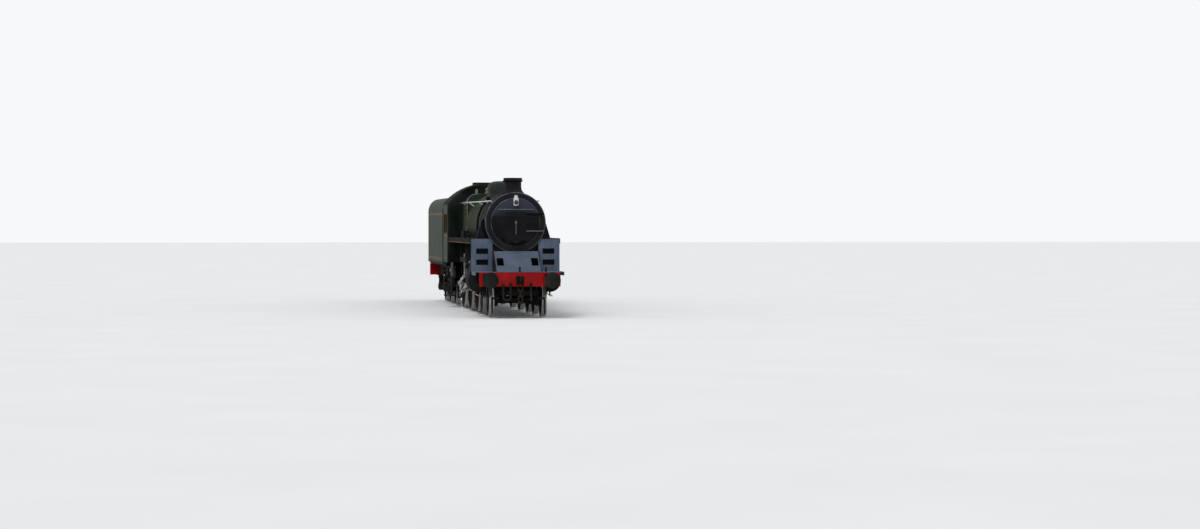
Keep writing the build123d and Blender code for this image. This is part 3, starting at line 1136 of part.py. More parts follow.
def build_tender():
    s0, s1 = TANK_S
    build_tank()
    low, top = TENDER_R + 198, TENDER_TOP
    horn = 130
    inner, outer = TENDER_PLATE
    outline = [(TENDER_FRONT_S, DRAW_H - 50), (TENDER_FRONT_S, top), (REAR_BEAM_S, top), (REAR_BEAM_S, BEAM_H[0] + 30)]
    for station in reversed(TENDER_S):
        outline += [(station + 420, low + 40), (station + horn + 60, low - 140), (station + horn, low - 140)]
        outline += [(station + horn, low + 200), (station - horn, low + 200), (station - horn, low - 140)]
        outline += [(station - horn - 60, low - 140), (station - 420, low + 40)]
    plate = slab(outline, inner, outer)
    for a, b in zip(TENDER_S, TENDER_S[1:]):
        plate -= link((a + 620, low + 310), (b - 620, low + 310), 300, inner - 5, outer + 5)
    frame = [plate, far(plate)]
    frame.append(box(TENDER_FRONT_S, TENDER_FRONT_S + 30, -inner, inner, DRAW_H - 150, top))
    frame.append(box(TENDER_FRONT_S, REAR_BEAM_S, -DECK_HALF, DECK_HALF, top, top + 20))
    for s in (TENDER_FRONT_S + 640, *[station - TENDER_BASE / 2 for station in TENDER_S[1:]], s1 - 260):
        frame.append(box(s, s + 20, -inner, inner, top - 180, top))
    frame.append(box(TENDER_FRONT_S, TENDER_FRONT_S + 640, -120, 120, DRAW_H - 30, top))
    frame.append(box(DRAW_PIN_S, TENDER_FRONT_S, -70, 70, DRAW_H - 30, DRAW_H + 30))
    frame.append(post(DRAW_PIN_S, 0, DRAW_PIN_R + 65, DRAW_H - 30, DRAW_H + 30))
    made = one(frame) - post(DRAW_PIN_S, 0, DRAW_PIN_R + FIT, DRAW_H - 40, DRAW_H + 40)
    node("tender_frames", made)
    bed = box(TENDER_FRONT_S, s1, -DECK_HALF, DECK_HALF, top + 20, TANK_LOW)
    bed += box(TENDER_FRONT_S + 200, s0, -BED_HALF, BED_HALF, TANK_LOW, FLOOR_H - 15)
    # Hand columns for the brake and the water scoop
    for y in (-1030, 1030):
        bed += post(s0 - 60, y, 30, FLOOR_H - 15, FLOOR_H + 900)
        bed += tube(s0 - 150, s0 - 60, y, FLOOR_H + 880, 18)
    node("tender_bed", bed)
    rear_face = REAR_BEAM_S + BEAM_T
    node("tender_beam", box(REAR_BEAM_S, rear_face, -TENDER_BEAM_HALF, TENDER_BEAM_HALF, *BEAM_H))
    node("tender_buffers", both(buffer(rear_face, 1)))
    node("tender_coupling", coupling(rear_face, 1), *hoses(rear_face, 1))
    boxes, springs = [], []
    for station in TENDER_S:
        half = horn - FIT
        low_h, high_h = TENDER_R - 130, TENDER_R + 150
        body = box(station - half, station + half, inner - 15, outer + 110, low_h, high_h)
        body += box(station - half - 30, station + half + 30, outer + 2, outer + 60, low_h + 20, high_h)
        cap = [(0, 105), (92, 105), (92, 124), (60, 138), (0, 142)]
        body += turned_across([(r, outer + d) for r, d in cap], station, TENDER_R)
        boxes.extend(both(body - pin(station, TENDER_R, TENDER_AXLE_R + FIT, inner - 100, inner + 60 + FIT)))
        spring = leaf_spring(station, 480, high_h + 190, 90, outer + 12, outer + 102)
        spring += box(station - 50, station + 50, outer, outer + 112, high_h, high_h + 205)
        for s in (station - 455, station + 455):
            spring += box(s - 22, s + 22, outer, outer + 90, high_h + 190, high_h + 250)
        springs.extend(both(spring))
    node("tender_axleboxes", *boxes, *springs)
    foot = steps(TENDER_FRONT_S + 140, 400, 2, 600, top, 1060, TANK_HALF - 10)
    ladder = []
    ladder_s = s1 + 60
    for y in (500, 820):
        ladder.append(post(ladder_s, y, 16, TANK_LOW - 40, TANK_DECK + 80))
        ladder += [tube(s1, ladder_s, y, h, 16) for h in (TANK_LOW - 20, TANK_DECK - 60)]
    for number in range(6):
        h = TANK_LOW + 60 + number * 250
        ladder.append(pole((ladder_s, 500, h), (ladder_s, 820, h), 14))
    node("tender_steps", both(foot), one(ladder))


def main():
    build_wheels()
    build_motion()
    build_frames()
    build_cylinders()
    build_boiler()
    build_platform()
    build_cab()
    build_cab_inside()
    build_springs_and_boxes()
    build_brakes()
    build_ashpan()
    build_steps()
    build_bogie()
    build_tender()
    os.makedirs("parts", exist_ok=True)
    for name, shape in NODES.items():
        export_step(shape, f"parts/{name}.step")


main()
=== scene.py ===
"""Looks of a steam locomotive and its tender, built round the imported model."""

import math

import bmesh
import bpy
from mathutils import Matrix, Vector


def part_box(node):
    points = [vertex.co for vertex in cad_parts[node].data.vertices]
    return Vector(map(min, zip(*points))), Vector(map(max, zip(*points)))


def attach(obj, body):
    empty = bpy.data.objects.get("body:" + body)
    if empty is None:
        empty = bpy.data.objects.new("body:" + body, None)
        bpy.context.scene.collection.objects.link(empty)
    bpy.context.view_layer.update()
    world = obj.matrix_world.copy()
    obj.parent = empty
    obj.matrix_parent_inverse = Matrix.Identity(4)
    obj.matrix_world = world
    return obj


bl_info = {
    "name": "Steam locomotive",
    "version": (1, 0, 0),
    "blender": (4, 5, 0),
    "location": "3D View > Sidebar > Locomotive",
    "description": "Paint, bands, lining, rivets, pipes and cab fittings of a steam locomotive",
    "category": "Object",
}

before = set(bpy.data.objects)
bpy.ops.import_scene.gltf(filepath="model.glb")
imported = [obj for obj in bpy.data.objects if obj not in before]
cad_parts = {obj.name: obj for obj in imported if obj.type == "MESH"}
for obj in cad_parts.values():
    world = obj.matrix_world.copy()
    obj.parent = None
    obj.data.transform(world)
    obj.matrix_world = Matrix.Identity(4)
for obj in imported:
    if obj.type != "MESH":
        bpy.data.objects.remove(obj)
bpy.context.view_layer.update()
BEAM_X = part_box("front_beam")[0].x
RAIL_Z = 0.030

# Places in millimetres: stations count backwards from the front beam, heights upwards from the rail top
PITCH = 2667
PLATE_TOP = 2214
SMOKEBOX = (1200, 2900)
SMOKEBOX_R = 855
DOOR_R = 705
STEP_S = 1240
STRAP_H = 240
LAMP_H, LENS_RISE = 490, 88
BUFFER_Y, BUFFER_H = 870, 1054
REAR_BEAM = 18104
FRAME_HALF, TENDER_FRAME_HALF = 657, 930
BARREL_END = 7060
FIREBOX_END = 9720
CAB = (9250, 10980)
CAB_HALF = 1320
TANK = (11420, 17960)
TANK_HALF = 1310
CYL_S, CYL_Y, CYL_H, CHEST_H = 1900, 1020, 990, 1480
DRIVERS = (4429.5, 6715.5, 9153.5)
BOGIE = (947.5, 2852.5)
TENDER_AXLES = (12350, 14484, 16618)
DRIVER_R, BOGIE_R, TENDER_R = 940, 457, 502
BEAM_FACE = -32
VALANCE_HALF = 1290
MIDDLE_ROW, MOUNTINGS_S = 2100, 6000
BOARDS_A_METRE = 7.4


def at(s, y, h):
    """A station, an offset and a height as a point in metres."""
    return Vector((BEAM_X - s / 1000, y / 1000, RAIL_Z + h / 1000))


def x_at(s):
    return at(s, 0, 0).x


def z_at(h):
    return at(0, 0, h).z


def barrel_radius(s):
    return 800 + 82 * (s - SMOKEBOX[1]) / (BARREL_END - SMOKEBOX[1])


def firebox_size(s):
    """Half width of the firebox and height of its top at a station."""
    share = (s - BARREL_END) / (FIREBOX_END - BARREL_END)
    return 880 - 65 * share, PITCH + 873 - 120 * share


def firebox_section(s, proud):
    """(offset, height) points over the firebox, from one running plate to the other."""
    side, top = firebox_size(s)
    right = [(side + proud, PLATE_TOP + 16), (side + proud, PLATE_TOP + 150)]
    for step in range(13):
        a = math.radians(7.5 * step)
        right.append((side - 4 - 250 + (250 + proud) * math.cos(a), top - 250 + (250 + proud) * math.sin(a)))
    right.append((0, top + 28 + proud))
    return right + [(-y, h) for y, h in reversed(right[:-1])]


# Sizes and colours that a user would change


def colour(name, text, default):
    return bpy.props.FloatVectorProperty(
        name=name, description=text, default=default, size=3, subtype="COLOR"
    )


def number(name, text, default, **more):
    return bpy.props.FloatProperty(name=name, description=text, default=default, **more)


def length(name, text, default):
    return number(name, text, default, unit="LENGTH")


class LocomotivePaint(bpy.types.PropertyGroup):
    body_green: colour("Body green", "Boiler, cab and tender", (0.019, 0.037, 0.023))
    smokebox: colour("Smokebox black", "Smokebox and its door", (0.0055, 0.0055, 0.008))
    underframe: colour("Frame black", "Frames, bogie and wheels", (0.016, 0.016, 0.017))
    spectacle: colour("Cab front", "Front plate of the cab", (0.012, 0.014, 0.014))
    platform: colour("Platform grey", "Plates in front of the smokebox", (0.088, 0.112, 0.158))
    beam: colour("Beam red", "Buffer beams", (0.37, 0.008, 0.009))
    lining: colour("Lining", "Thin lines on cab, tender and bands", (0.42, 0.19, 0.06))
    cab_inside: colour("Cab inside", "Inner faces of the cab", (0.055, 0.06, 0.05))


class LocomotiveSizes(bpy.types.PropertyGroup):
    band_width: length("Band width", "Width of the boiler bands", 0.058)
    band_depth: length("Band thickness", "How far the bands stand out", 0.005)
    line_width: length("Line width", "Width of a painted line", 0.011)
    rivet_radius: length("Rivet radius", "Radius of a rivet head", 0.011)
    rivet_pitch: length("Rivet pitch", "Distance from rivet to rivet", 0.078)
    nut_radius: length("Nut radius", "Radius of a cover nut", 0.022)
    rail_radius: length("Grab rail radius", "Radius of the cab's and tender's grab rails", 0.016)


class LocomotiveStudio(bpy.types.PropertyGroup):
    eye: bpy.props.FloatVectorProperty(
        name="Camera",
        description="Where the camera stands",
        default=(80.87, -7.60, 2.61),
        subtype="TRANSLATION",
    )
    turn: number("Turn", "Camera's turn", 1.4343, subtype="ANGLE")
    tilt: number("Tilt", "Camera's tilt", -0.0151, subtype="ANGLE")
    lens: number("Lens", "Focal length in millimetres", 77.2)
    sky: number("Sky light", "Level of the soft light", 0.72)
    sun: number("Key light", "Level of the soft key light", 1.1)


# Node trees


def add_node(tree, kind, settings=None, sockets=None):
    """A node with its settings, and with values or other nodes' sockets at its inputs."""
    node = tree.nodes.new(kind)
    for name, value in (settings or {}).items():
        setattr(node, name, value)
    for name, value in (sockets or {}).items():
        if isinstance(value, bpy.types.NodeSocket):
            tree.links.new(value, node.inputs[name])
        else:
            node.inputs[name].default_value = value
    return node


class Flow:
    """A socket of a finish's tree, so that sums of sockets read as sums."""

    def __init__(self, made, socket):
        self.made, self.socket = made, socket

    def maths(self, operation, a, b=0.0, clamp=False):
        return self.made.add("ShaderNodeMath", {"operation": operation, "use_clamp": clamp}, {0: a, 1: b})

    def __add__(self, other):
        return self.maths("ADD", self, other)

    __radd__ = __add__

    def __sub__(self, other):
        return self.maths("SUBTRACT", self, other)

    def __rsub__(self, other):
        return self.maths("SUBTRACT", other, self)

    def __mul__(self, other):
        return self.maths("MULTIPLY", self, other)

    __rmul__ = __mul__

    def __gt__(self, other):
        return self.maths("GREATER_THAN", self, other)

    def __lt__(self, other):
        return self.maths("LESS_THAN", self, other)

    def __abs__(self):
        return self.maths("ABSOLUTE", self)

    def between(self, low, high):
        """0 below low, 1 above high and straight between."""
        return self.maths("MULTIPLY", self - low, 1 / (high - low), clamp=True)

    def largest(self, other):
        return self.maths("MAXIMUM", self, other)

    def root(self):
        return self.maths("SQRT", self)


class Finish:
    """A material's shader tree."""

    def __init__(self, name):
        self.material = bpy.data.materials.new(name)
        self.material.use_nodes = True
        self.tree = self.material.node_tree
        self.tree.nodes.clear()
        self.place = self.add("ShaderNodeTexCoord", out="Object")

    def add(self, kind, settings=None, sockets=None, out=0):
        plain = {name: getattr(value, "socket", value) for name, value in (sockets or {}).items()}
        return Flow(self, add_node(self.tree, kind, settings, plain).outputs[out])

    def axes(self, source=None):
        first = self.add("ShaderNodeSeparateXYZ", None, {0: source or self.place})
        return [first] + [Flow(self, first.socket.node.outputs[n]) for n in (1, 2)]

    def facing(self):
        """The surface's direction in the piece's own axes, so that it keeps when the piece is turned."""
        return self.axes(self.add("ShaderNodeTexCoord", out="Normal"))

    def noise(self, scale, detail=3.0, stretch=(1, 1, 1)):
        mapped = self.add("ShaderNodeMapping", None, {"Vector": self.place, "Scale": stretch})
        return self.add("ShaderNodeTexNoise", None, {"Vector": mapped, "Scale": scale, "Detail": detail})

    def grain(self):
        """Fine noise, and a wavier one with it for a plate's bump."""
        fine = self.noise(46.0, 4.0)
        return fine, self.noise(2.3, 2.0) * 0.7 + fine * 0.3

    def round_boiler(self):
        """How far a point lies above the boiler's middle line, and how far away from it."""
        x, y, z = self.axes()
        above = z - z_at(PITCH)
        return above, (y * y + above * above).root()

    def mix(self, factor, a, b):
        a, b = [(*c, 1) if isinstance(c, tuple) and len(c) == 3 else c for c in (a, b)]
        return self.add("ShaderNodeMix", {"data_type": "RGBA"}, {0: factor, 6: a, 7: b}, out=2)

    def varnish(self, level):
        """A coat that shines where it is looked at squarely and dulls along the flank."""
        slant = self.add("ShaderNodeLayerWeight", None, {"Blend": 0.5}, out=1)
        return (0.86 - slant).between(0.0, 0.36) * level

    def close(self, base, rough, height=None, metallic=0.0, coat=0.0, bump=1.0, depth=0.002, **more):
        if not isinstance(coat, Flow) and coat:
            coat = self.varnish(coat)
        sockets = {"Base Color": base, "Roughness": rough, "Metallic": metallic, "Coat Weight": coat}
        sockets.update({"Coat Roughness": 0.07, "Coat IOR": 1.38, "IOR": 1.03})
        if height is not None:
            sockets["Normal"] = self.add(
                "ShaderNodeBump", None, {"Height": height, "Strength": bump, "Distance": depth}
            )
        sockets.update(more)
        shader = self.add("ShaderNodeBsdfPrincipled", None, sockets)
        add_node(self.tree, "ShaderNodeOutputMaterial", None, {0: shader.socket})
        return self.material


DUST = (0.105, 0.088, 0.068)
SOOT = (0.008, 0.008, 0.009)

# Plain finishes: colour, how far it varies, roughness from and to, metal, coat, dust from below, streaks
# and fine bump
PLAIN = {
    "boiler_green": ("body_green", 0.25, 0.30, 0.42, 0.0, 0.55, 0.12, 0.25, 0.10),
    # The dome's green is the body green darkened: painted shade over the dome
    "dome_shaded_green": ((0.014, 0.022, 0.019), 0.25, 0.22, 0.32, 0.0, 0.45, 0.10, 0.25, 0.08),
    "smokebox_black": ("smokebox", 0.40, 0.34, 0.52, 0.0, 0.25, 0.06, 0.40, 0.30),
    "chimney_black": ((0.016, 0.016, 0.019), 0.35, 0.36, 0.52, 0.0, 0.15, 0.05, 0.45, 0.25),
    "frame_black": ("underframe", 0.45, 0.42, 0.68, 0.0, 0.0, 0.60, 0.40, 0.45),
    "platform_grey": ("platform", 0.16, 0.34, 0.52, 0.0, 0.10, 0.20, 0.45, 0.20),
    "beam_red": ("beam", 0.14, 0.26, 0.42, 0.0, 0.20, 0.10, 0.30, 0.10),
    "roof_black": ((0.026, 0.026, 0.029), 0.40, 0.50, 0.75, 0.0, 0.0, 0.10, 0.50, 0.40),
    "plate_black": ((0.006, 0.006, 0.007), 0.20, 0.18, 0.30, 0.0, 0.30, 0.0, 0.1, 0.05),
    "lamp_white": ((0.78, 0.78, 0.76), 0.06, 0.28, 0.45, 0.0, 0.25, 0.0, 0.25, 0.08),
    "bright_steel": ((0.30, 0.30, 0.305), 0.30, 0.22, 0.46, 0.95, 0.0, 0.22, 0.55, 0.16),
    "rail_steel": ((0.46, 0.46, 0.47), 0.15, 0.20, 0.34, 0.95, 0.0, 0.0, 0.15, 0.05),
    "dark_steel": ((0.12, 0.115, 0.11), 0.35, 0.32, 0.55, 0.85, 0.0, 0.35, 0.50, 0.30),
    "brass": ((0.50, 0.36, 0.15), 0.25, 0.24, 0.44, 0.95, 0.0, 0.05, 0.35, 0.10),
    "copper": ((0.40, 0.18, 0.10), 0.30, 0.28, 0.50, 0.95, 0.0, 0.10, 0.40, 0.12),
    "hose_rubber": ((0.016, 0.016, 0.016), 0.35, 0.60, 0.82, 0.0, 0.0, 0.45, 0.35, 0.50),
    "lining": ("lining", 0.10, 0.34, 0.46, 0.0, 0.10, 0.05, 0.20, 0.05),
    "seat_wood": ((0.15, 0.075, 0.035), 0.35, 0.40, 0.60, 0.0, 0.1, 0.05, 0.30, 0.25),
}
MADE = {}


def user_colour(name):
    return tuple(getattr(bpy.context.scene.locomotive_paint, name))


def weathered(made, base, varies, dust, streaks):
    """A paint's colour, given or named, with its patches, runs of dirt and dust from the track."""
    base = user_colour(base) if isinstance(base, str) else base
    z, nz = made.axes()[2], made.facing()[2]
    patches = made.noise(1.7, 4.0)
    darker = tuple(c * (1 - varies) for c in base)
    lighter = tuple(min(1, c * (1 + varies) + 0.012 * varies) for c in base)
    mixed = made.mix(patches.between(0.35, 0.65), darker, lighter)
    runs = made.noise(9.0, 3.0, (1, 1, 0.09)).between(0.52, 0.78) * (1 - abs(nz))
    mixed = made.mix(runs * (streaks * 0.7), mixed, SOOT)
    low = (1.35 - z).between(0.0, 1.5) * made.noise(3.2, 5.0).between(0.25, 0.75)
    flat = nz.between(0.55, 0.95) * made.noise(5.0, 4.0).between(0.3, 0.8)
    return made.mix((low * dust).largest(flat * min(0.5, dust + 0.12)), mixed, DUST), patches


def plain_finish(name):
    if name in MADE:
        return MADE[name]
    tone, varies, low, high, metal, coat, dust, streaks, bump = PLAIN[name]
    made = Finish(name)
    base, patches = weathered(made, tone, varies, dust, streaks)
    fine, wavy = made.grain()
    rough = low + (high - low) * fine.between(0.3, 0.7) + patches * 0.05
    MADE[name] = made.close(base, rough, wavy, metal, coat, bump=min(1.0, bump * 1.4), depth=0.0035)
    return MADE[name]


def wheel_finish(node, s, radius):
    """Painted wheels with a bright worn tread and an oily hub, about one axle."""
    made = Finish(f"paint_{node}")
    x, _, z = made.axes()
    across, upward = x - x_at(s), z - z_at(radius)
    reach = (across * across + upward * upward).root()
    base, patches = weathered(made, "underframe", 0.4, 0.45, 0.25)
    rim = radius / 1000
    tread = reach.between(rim - 0.010, rim - 0.004)
    tyre = reach.between(rim - 0.082, rim - 0.078) * (1 - tread)
    oil = (0.26 - reach).between(0.0, 0.12) * made.noise(7.0, 4.0).between(0.3, 0.6)
    base = made.mix(tyre * 0.55, base, (0.06, 0.058, 0.055))
    base = made.mix(oil * 0.7, base, (0.012, 0.009, 0.007))
    base = made.mix(tread, base, (0.38, 0.37, 0.36))
    fine = made.noise(40.0, 4.0)
    rough = 0.48 + fine * 0.2 - oil * 0.25 - tread * 0.25
    return made.close(base, rough, fine + patches * 0.4, metallic=tread * 0.9, bump=0.3, depth=0.002)


def two_sided(name, outside, inside_colour, is_inside):
    """One paint outside and another on the inner faces."""
    made = Finish(name)
    outer, _ = weathered(made, outside, 0.25, 0.16, 0.30)
    inner, _ = weathered(made, inside_colour, 0.4, 0.25, 0.45)
    inside = is_inside(*made.axes(), *made.facing())
    fine = made.noise(46.0, 4.0)
    rough = 0.30 + fine * 0.12 + inside * 0.30
    wavy = made.noise(2.1, 2.0) * 0.8 + fine * 0.2
    base = made.mix(inside, outer, inner)
    coat = (1 - inside) * made.varnish(0.55)
    return made.close(base, rough, wavy, coat=coat, bump=0.14, depth=0.003)


def door_finish():
    """The door's black, with a painted bluish reflection of the sky over its upper part, and a painted
    highlight round its edge.
    """
    made = Finish("door_black")
    base, _ = weathered(made, "smokebox", 0.3, 0.04, 0.3)
    above, reach = made.round_boiler()
    edge = DOOR_R / 1000
    # Painted reflection: bluish grey over the upper part of the door, where the sky shows in it
    sky_reflection = (above + made.noise(2.6, 3.0) * 0.10).between(0.20, 0.42) * (reach < edge)
    base = made.mix(sky_reflection * 0.60, base, (0.052, 0.064, 0.088))
    # Painted highlight: a pale ring round the door's edge
    wear_and_highlight = reach.between(edge - 0.016, edge - 0.008) * (reach < edge + 0.002)
    base = made.mix(wear_and_highlight * made.noise(6.0, 3.0).between(0.25, 0.6) * 0.8, base, (0.16, 0.165, 0.175))
    fine, wavy = made.grain()
    return made.close(base, 0.24 + fine * 0.12, wavy, coat=0.25, bump=0.18, depth=0.0035)


def smokebox_finish():
    """The smokebox's black, with a painted highlight along the edge of its front ring, and a little paler on
    its face.
    """
    made = Finish("smokebox")
    base, patches = weathered(made, "smokebox", 0.4, 0.06, 0.4)
    x, nx = made.axes()[0], made.facing()[0]
    _, reach = made.round_boiler()
    # Painted highlight: a paler band along the outer edge of the front ring
    edge = (x > x_at(SMOKEBOX[0] + 14)) * (reach > (SMOKEBOX_R - 13) / 1000)
    base = made.mix(edge * made.noise(5.0, 3.0).between(0.2, 0.6) * 0.8, base, (0.13, 0.135, 0.145))
    ring = (x > x_at(SMOKEBOX[0] + 60)) * (nx > 0.7) * (1 - edge)
    base = made.mix(ring * 0.25, base, (0.020, 0.024, 0.032))
    fine, wavy = made.grain()
    return made.close(base, 0.34 + fine * 0.18 + patches * 0.05, wavy, coat=0.25, bump=0.35, depth=0.0035)


def step_plate_finish():
    """Platform grey lightened as painted light, with black painted shade behind the footholes."""
    made = Finish("step_plates")
    # Painted light: the platform grey lightened by 35 per cent
    lit = tuple(c * 1.35 for c in user_colour("platform"))
    base, _ = weathered(made, lit, 0.16, 0.20, 0.45)
    x = made.axes()[0]
    # Painted shade: black over the backs and sills behind the footholes
    shade_behind = (x < x_at(STEP_S + 16)) * (x > x_at(STEP_S + 70))
    fine, wavy = made.grain()
    base = made.mix(shade_behind, base, (0.004, 0.004, 0.006))
    return made.close(base, 0.36 + fine * 0.16, wavy, coat=0.1, bump=0.25)


def mountings_finish():
    """Dull gunmetal safety valves and whistle over the firebox, and black feed valves and pipes in front."""
    made = Finish("boiler_mountings")
    valves = made.axes()[0] < x_at(MOUNTINGS_S)
    brass = weathered(made, (0.20, 0.15, 0.085), 0.25, 0.0, 0.45)[0]
    base = made.mix(valves, (0.012, 0.012, 0.013), brass)
    return made.close(base, 0.32 + made.noise(30.0) * 0.15, metallic=valves * 0.95)


def lamp_finish():
    """White enamel, black round the lens."""
    made = Finish("head_lamp")
    base, patches = weathered(made, PLAIN["lamp_white"][0], 0.06, 0.0, 0.25)
    _, y, z = made.axes()
    above = z - z_at(PITCH + LAMP_H + LENS_RISE)
    dark = ((y * y + above * above).root() < 0.061) * (made.facing()[0] > 0.3)
    base = made.mix(dark, base, (0.010, 0.010, 0.012))
    return made.close(base, 0.30 + patches * 0.12, patches, coat=0.25, bump=0.1)


def door_fittings_finish():
    """Steel rail and handles on the door, and black straps, the lower one with a painted highlight line along
    it.
    """
    made = Finish("door_fittings")
    x, y, z = made.axes()
    above = z - z_at(PITCH)
    off = abs(abs(above) - STRAP_H / 1000)
    strap = (off < 0.034) * (abs(y) > 0.09)
    # Painted highlight: a bright steel line along the lower strap only
    highlight_line = (off < 0.013) * (above < 0) * (x > x_at(SMOKEBOX[0] - 10))
    dark = strap * (1 - highlight_line)
    wear_and_highlight = made.noise(9.0, 3.0).between(0.5, 0.75)
    steel = made.mix(wear_and_highlight, (0.115, 0.12, 0.13), (0.17, 0.175, 0.185))
    black = made.mix(wear_and_highlight * 0.5, (0.007, 0.007, 0.010), (0.040, 0.042, 0.048))
    rough = 0.28 + made.noise(46.0, 3.0) * 0.14
    return made.close(made.mix(dark, steel, black), rough, wear_and_highlight, metallic=(1 - dark) * 0.9, bump=0.1)


def cab_fittings_finish():
    """Varnished seats, brass gauges, a steel regulator, and black iron doors, shelf and reverser."""
    made = Finish("cab_fittings")
    x, y, z = made.axes()
    seats = (x < x_at(FIREBOX_END + 400)) * (z < z_at(2200))
    tubes = (abs(abs(y) - 0.26) < 0.03) * (z > z_at(PITCH - 270)) * (z < z_at(PITCH + 95))
    brass = tubes.largest(z > z_at(PITCH + 200))
    handle = (y > 0.38) * (y < 0.80) * (z < z_at(PITCH + 130))
    grain = made.noise(14.0, 5.0, (1, 1, 0.2)).between(0.3, 0.7)
    iron = made.mix(grain, (0.012, 0.012, 0.013), (0.026, 0.025, 0.025))
    base = made.mix(brass, made.mix(handle, iron, (0.36, 0.36, 0.37)), (0.44, 0.31, 0.13))
    base = made.mix(seats, base, made.mix(grain, (0.085, 0.038, 0.016), (0.20, 0.10, 0.045)))
    metallic = brass.largest(handle) * (1 - seats) * 0.9
    return made.close(base, 0.34 + grain * 0.14, grain, metallic=metallic, bump=0.12)


def board_finish():
    """Worn floor boards along the cab, with gaps and grain."""
    made = Finish("cab_boards")
    turned = made.axes()[1] * BOARDS_A_METRE
    plank = turned.maths("FRACT", turned)
    gap = abs(plank - 0.5) > 0.47
    grain = made.noise(30.0, 6.0, (0.12, 1, 1))
    tone = made.mix(grain.between(0.3, 0.7), (0.055, 0.036, 0.022), (0.17, 0.115, 0.07))
    tone = made.mix(made.noise(2.0, 4.0).between(0.45, 0.7) * 0.75, tone, (0.028, 0.026, 0.024))
    base = made.mix(gap, tone, SOOT)
    return made.close(base, 0.7 + grain * 0.15, grain * 0.3 - gap, bump=0.6, depth=0.004)


def glass_finish():
    made = Finish("window_glass")
    film = 0.10 + made.noise(2.5, 1.0).between(0.3, 0.8) * 0.06
    wavy = made.noise(1.5, 1.0)
    return made.close((0.02, 0.024, 0.022, 1), 0.04, wavy, bump=0.03, Alpha=film, IOR=1.12)


def dial_finish():
    """A white gauge face with ticks and a pointer, on the piece's own UV map."""
    made = Finish("gauge_face")
    flat = made.axes(made.add("ShaderNodeUVMap", None, None))
    u, v = flat[0] - 0.5, flat[1] - 0.5
    reach = (u * u + v * v).root()
    angle = u.maths("ARCTAN2", u, v)
    turns = angle * (24 / math.tau)
    tick = (abs(turns.maths("FRACT", turns + 100) - 0.5) < 0.11) * (abs(reach - 0.40) < 0.045)
    pointer = (abs(u * 0.80 - v * 0.60) < 0.016) * ((u * 0.6 + v * 0.8) > -0.08) * (reach < 0.36)
    base = made.mix(tick.largest(pointer), (0.72, 0.70, 0.62), (0.012, 0.012, 0.012))
    return made.close(base, 0.3 + made.noise(30.0) * 0.1)


def lens_finish():
    made = Finish("lamp_lens")
    ripple = made.noise(60.0, 2.0)
    return made.close((0.10, 0.11, 0.12, 1), 0.06 + ripple * 0.08, ripple, coat=0.6, bump=0.3, IOR=1.5)


# Which finish each carried-over piece has

FINISHES = {
    "boiler_green": ("boiler_barrel",),
    "dome_shaded_green": ("dome",),
    "smokebox_black": ("smokebox_saddle", "steam_pipes", "ashpan"),
    "chimney_black": ("chimney",),
    "frame_black": (
        "main_frames", "front_buffers", "tender_buffers", "front_coupling", "cylinders",
        "motion_brackets", "reversing_gear", "driver_axleboxes", "engine_brakes", "running_plates",
        "bogie_frame", "bogie_axleboxes", "tender_frames", "tender_bed", "tender_axleboxes",
        "tender_brakes", "tender_steps", "engine_steps",
    ),
    "platform_grey": ("front_casing",),
    "beam_red": ("front_beam", "tender_beam"),
    "roof_black": ("cab_roof", "tender_coupling"),
    "plate_black": ("door_plates",),
    "bright_steel": (
        "slide_bars", "crossheads", "connecting_rods", "valve_gear", "coupling_rods_left",
        "coupling_rods_right",
    ),
    "rail_steel": ("handrails",),
    "dark_steel": ("injectors",),
    "hose_rubber": ("front_hoses",),
}


def dress(mesh, material):
    mesh.materials.clear()
    mesh.materials.append(material)


def put_on(node, material):
    dress(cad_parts[node].data, material)


def linked(name, data):
    """A new object in the scene."""
    obj = bpy.data.objects.new(name, data)
    bpy.context.scene.collection.objects.link(obj)
    return obj


# Mesh work


def rounded(points, bend, steps=5):
    """The points of a run with its corners rounded."""
    made = [points[0]]
    for a, b, c in zip(points, points[1:], points[2:]):
        back = min(bend, (a - b).length * 0.49)
        on = min(bend, (c - b).length * 0.49)
        p, q = b + (a - b).normalized() * back, b + (c - b).normalized() * on
        for n in range(steps + 1):
            t = n / steps
            made.append(p * (1 - t) ** 2 + b * (2 * t * (1 - t)) + q * t**2)
    made.append(points[-1])
    return made


def turns(sides):
    return [math.tau * n / sides for n in range(sides)]


def ring_of(middle, side, other, radius, sides):
    """Points round a middle, in the plane of two directions."""
    return [middle + (side * math.cos(t) + other * math.sin(t)) * radius for t in turns(sides)]


